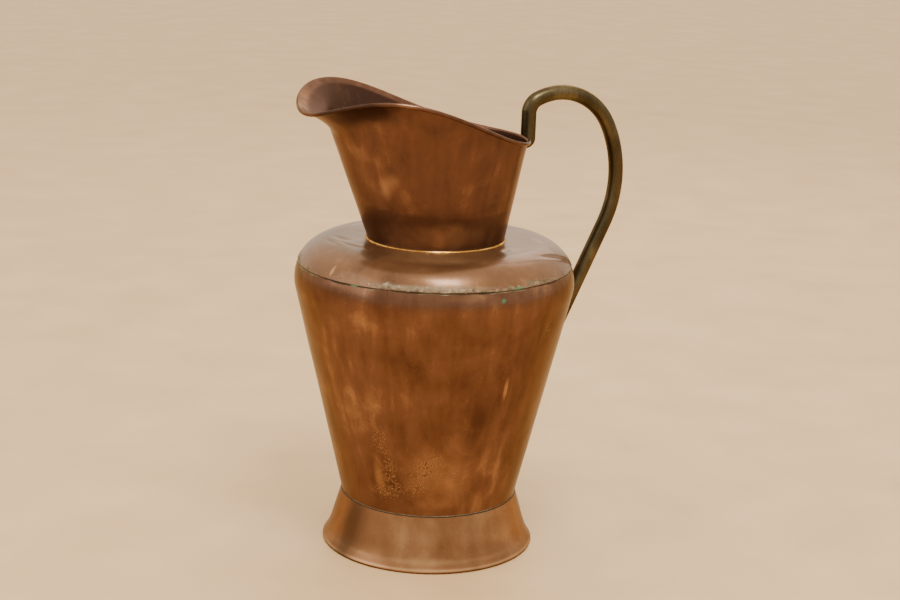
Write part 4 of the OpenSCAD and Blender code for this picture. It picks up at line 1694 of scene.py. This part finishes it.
    def build_tube(self) -> bpy.types.Object:
        """Skins the tube over its stops and closes both tips."""
        points: list[Point3] = []
        stops = self.stops()
        for middle, way, flat, share in stops:
            size = math.hypot(*way)
            up = (-way[1] / size, way[0] / size)
            half_w = (self.tube + (self.flat_w / 2 - self.tube) * flat) * share
            half_h = self.tube + (self.flat_t / 2 - self.tube) * flat
            power = 1 - 0.4 * flat
            for j in range(self.ring_sides):
                a = math.tau * j / self.ring_sides
                w, h = (
                    half * math.copysign(abs(turn) ** power, turn)
                    for half, turn in ((half_w, math.cos(a)), (half_h, math.sin(a)))
                )
                points.append((middle[0] + up[0] * h, w, middle[1] + up[1] * h))
        faces = tube_faces(len(stops), self.ring_sides)
        return link_object("handle_bow", mesh_from("handle_bow", np.array(points), faces))

    @property
    def inner(self) -> float:
        """Where the rivets' hammered ends start, as a distance out from the wall; it lies inside."""
        return -self.vessel.sheet - 0.05 - self.burr_t - 0.15

    def rivet_line(self) -> list[Point]:
        """A rivet's outline, from its hammered end inside the vessel to the crown of its head."""
        inside, outside = self.inner, self.off_wall + self.flat_t + 0.05
        dome = (self.head_r**2 + self.head_h**2) / (2 * self.head_h)
        reach = math.degrees(math.asin(self.head_r / dome))
        head = arc_points((0, outside + self.head_h - dome), dome, 90 - reach, 90, reach / 9)
        return [
            (0, inside - 1.3), (1.6, inside - 1.3), (2.7, inside - 0.9), (3.6, inside - 0.3), (3.7, inside),
            (self.rivet_r, inside + 0.05), (self.rivet_r, outside), (self.head_r - 0.4, outside),
            (self.head_r, outside + 0.15), *((r, z + 0.1) for r, z in head[1:-1]),
            (0, outside + self.head_h + 0.1),
        ]

    def washer_line(self) -> list[Point]:
        """A washer's outline, from the middle of its inner face to the middle of its outer face."""
        low, edge = self.inner + 0.05, self.burr_r
        high = low + self.burr_t
        return [
            (0, low), (edge - 0.4, low), (edge, low + 0.3),
            (edge, high - 0.3), (edge - 0.4, high), (0, high),
        ]

    def set_row(
        self, bench: Bench, name: str, line: Sequence[Point], place: Place, finish: bpy.types.Material
    ) -> bpy.types.Object:
        """Sets two of a small turned solid where one flat end's rivets are.

        Args:
            bench: The geometry trees.
            name: The row's name.
            line: The solid's outline, as distances from its own axis and out from the wall.
            place: Where the flat end lies.
            finish: The row's material.

        Returns:
            The row.
        """
        slope = place.slope
        lean = math.atan(slope)
        first = (place.radius - slope * self.rivet_down, 0.0, place.height - self.rivet_down)
        return bench.rivets.run(turned_solid(name, solid_outline(line), 32), {
            "Count": 2, "First": tuple(x * MM for x in first), "Turn seed": 3,
            "Step": (-slope * self.rivet_gap * MM, 0.0, -self.rivet_gap * MM),
            "Outwards": (math.cos(lean), 0.0, -math.sin(lean)),
        } | hand_work((4, 0.12), (1.5, 0.04), 1.5, finish))

    def build(self, bench: Bench, finishes: Finishes) -> None:
        """Makes the tube, its rivets and the washers inside the vessel."""
        bow = bench.hammer(self.build_tube(), finishes.handle, (40, 0.12), (10, 0.03), 6.0)
        top = self.vessel.shoulder_z + self.crown_up
        worn = marks(Trace.RUB_AND_PAINTED_LIGHT, (0, top + 30, 60, 40, 0.3), (0, top - 170, 60, 70, 0.3))
        keep(bow, "handle_brass", "handle_tube", spots=worn)
        for end, place in self.places().items():
            rivets = self.set_row(bench, f"{end}_rivet_pair", self.rivet_line(), place, finishes.rivet)
            keep(rivets, "rivet_copper", f"{end}_rivets")
            washers = self.set_row(bench, f"{end}_washer_pair", self.washer_line(), place, finishes.base)
            keep(washers, "rivet_copper", f"{end}_burrs")


# --- The studio --------------------------------------------------------------------------------------


@dataclass
class Studio:
    """A plain pale floor, soft light and the camera.

    Attributes:
        distance: How far the camera stands from the axis.
        height: Its height.
        aside: How far it stands aside.
        bearing: Direction that it looks in, in degrees from +Y.
        pitch: How far it looks down, in degrees.
        roll: How far it leans to the side, in degrees.
        lens: Its focal length.
        film: Width of its film.
        dim: Strength of the room's light all round.
        above: How much stronger it is above.
        behind: How much stronger it is behind the ewer.
        aim: Height that the softboxes point at.
        softboxes: Name, place, size and power, in watts, of each softbox.
        floor_side: Half the floor's width.
    """

    distance: float = 2388.56
    height: float = 946.85
    aside: float = 22.38
    bearing: float = -24.0
    pitch: float = 14.19
    roll: float = 1.847
    lens: float = 71.91
    film: float = 36.0
    dim: float = 1.25
    above: float = 0.55
    behind: float = 0.35
    aim: float = 330.0
    softboxes: tuple[tuple[str, Point3, float, float], ...] = (
        ("key softbox", (-150, -1150, 2800), 800, 52),
        ("side softbox", (-2600, 300, 1900), 2200, 25),
        ("back softbox", (1700, 2100, 2300), 2200, 25),
    )
    floor_side: float = 9000.0

    def build(self) -> None:
        """Sets up the floor, the lights and the camera."""
        self.build_floor()
        self.build_room()
        self.hang_softboxes()
        self.build_camera()

    def build_floor(self) -> None:
        """Lays a wide floor with a fine mottling, like painted screed."""
        side = self.floor_side * MM
        mesh = bpy.data.meshes.new("floor")
        corners = [(-side, -side, 0), (side, -side, 0), (side, side, 0), (-side, side, 0)]
        mesh.from_pydata(corners, [], [(0, 1, 2, 3)])
        floor = link_object("floor", mesh)
        # Floor paint: pale sand, matt, hardly mottled, so that it only carries the ewer's shadow
        material = bpy.data.materials.new("floor paint, pale and matt")
        tree = empty_tree(material)
        place = add_node(tree, "ShaderNodeTexCoord").outputs["Object"]
        mottle = add_node(tree, "ShaderNodeTexNoise", {}, {"Vector": place, "Scale": 6.0, "Detail": 4.0})
        tone = add_node(tree, "ShaderNodeValToRGB", {}, {0: mottle}, [
            (0.3, colour("#cfa976")), (0.7, colour("#d8b483")),
        ])
        shader = add_node(tree, "ShaderNodeBsdfPrincipled", {}, {"Base Color": tone, "Roughness": 0.6})
        add_node(tree, "ShaderNodeOutputMaterial", {}, {"Surface": shader})
        mesh.materials.append(material)

    def build_room(self) -> None:
        """Surrounds the ewer with a room that is brighter above and behind it than before it."""
        world = bpy.data.worlds.new("surround")
        tree = empty_tree(world)
        way = add_node(tree, "ShaderNodeTexCoord").outputs["Generated"]
        a = math.radians(self.bearing)
        strength = self.dim
        for direction, gain in (((0, 0, 1), self.above), ((-math.sin(a), math.cos(a), 0), self.behind)):
            facing = add_node(
                tree, "ShaderNodeVectorMath", {"operation": "DOT_PRODUCT"}, {0: way, 1: direction}
            ).outputs["Value"]
            share = fade(tree, facing, -0.1, 0.9, end=gain)
            strength = add_node(tree, "ShaderNodeMath", {"operation": "ADD"}, {0: share, 1: strength})
        surround = add_node(
            tree, "ShaderNodeBackground", {}, {"Color": colour("#f6ebda"), "Strength": strength}
        )
        add_node(tree, "ShaderNodeOutputWorld", {}, {"Surface": surround})
        bpy.context.scene.world = world

    def hang_softboxes(self) -> None:
        """Hangs the softboxes round the ewer, each turned to it."""
        for name, where, size, power in self.softboxes:
            light = bpy.data.lights.new(name, "AREA")
            light.shape = "SQUARE"
            light.size = size * MM
            light.energy = power
            lamp = link_object(name, light)
            lamp.location = Vector(where) * MM
            aim = Vector((0, 0, self.aim * MM)) - lamp.location
            lamp.rotation_euler = aim.to_track_quat("-Z", "Y").to_euler()

    def build_camera(self) -> None:
        """Sets the camera a little above the ewer, looking down at it."""
        a, p, r = (math.radians(x) for x in (self.bearing, self.pitch, self.roll))
        level, up = Vector((math.cos(a), math.sin(a), 0)), Vector((0, 0, 1))
        ahead = Vector((-math.sin(a), math.cos(a), 0))
        forward = ahead * math.cos(p) - up * math.sin(p)
        top = ahead * math.sin(p) + up * math.cos(p)
        right = level * math.cos(r) + top * math.sin(r)
        above = top * math.cos(r) - level * math.sin(r)
        camera = link_object("camera", bpy.data.cameras.new("camera"))
        place = (level * self.aside - ahead * self.distance + up * self.height) * MM
        facing = Matrix((right, above, -forward)).transposed().to_4x4()
        camera.matrix_world = Matrix.Translation(place) @ facing
        camera.data.lens = self.lens
        camera.data.sensor_width = self.film
        bpy.context.scene.camera = camera


def main() -> None:
    """Builds every sub-assembly round the frame, in order."""
    logging.basicConfig(level=logging.INFO, format="%(message)s")
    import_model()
    Studio().build()
    bench, finishes, vessel = Bench(), Finishes.mix(), Vessel()
    neck = Neck(vessel)
    for part in (Foot(vessel), Body(vessel), neck, Handle(vessel, neck)):
        LOG.info("building the %s", type(part).__name__.lower())
        part.build(bench, finishes)


if __name__ == "__main__":
    main()
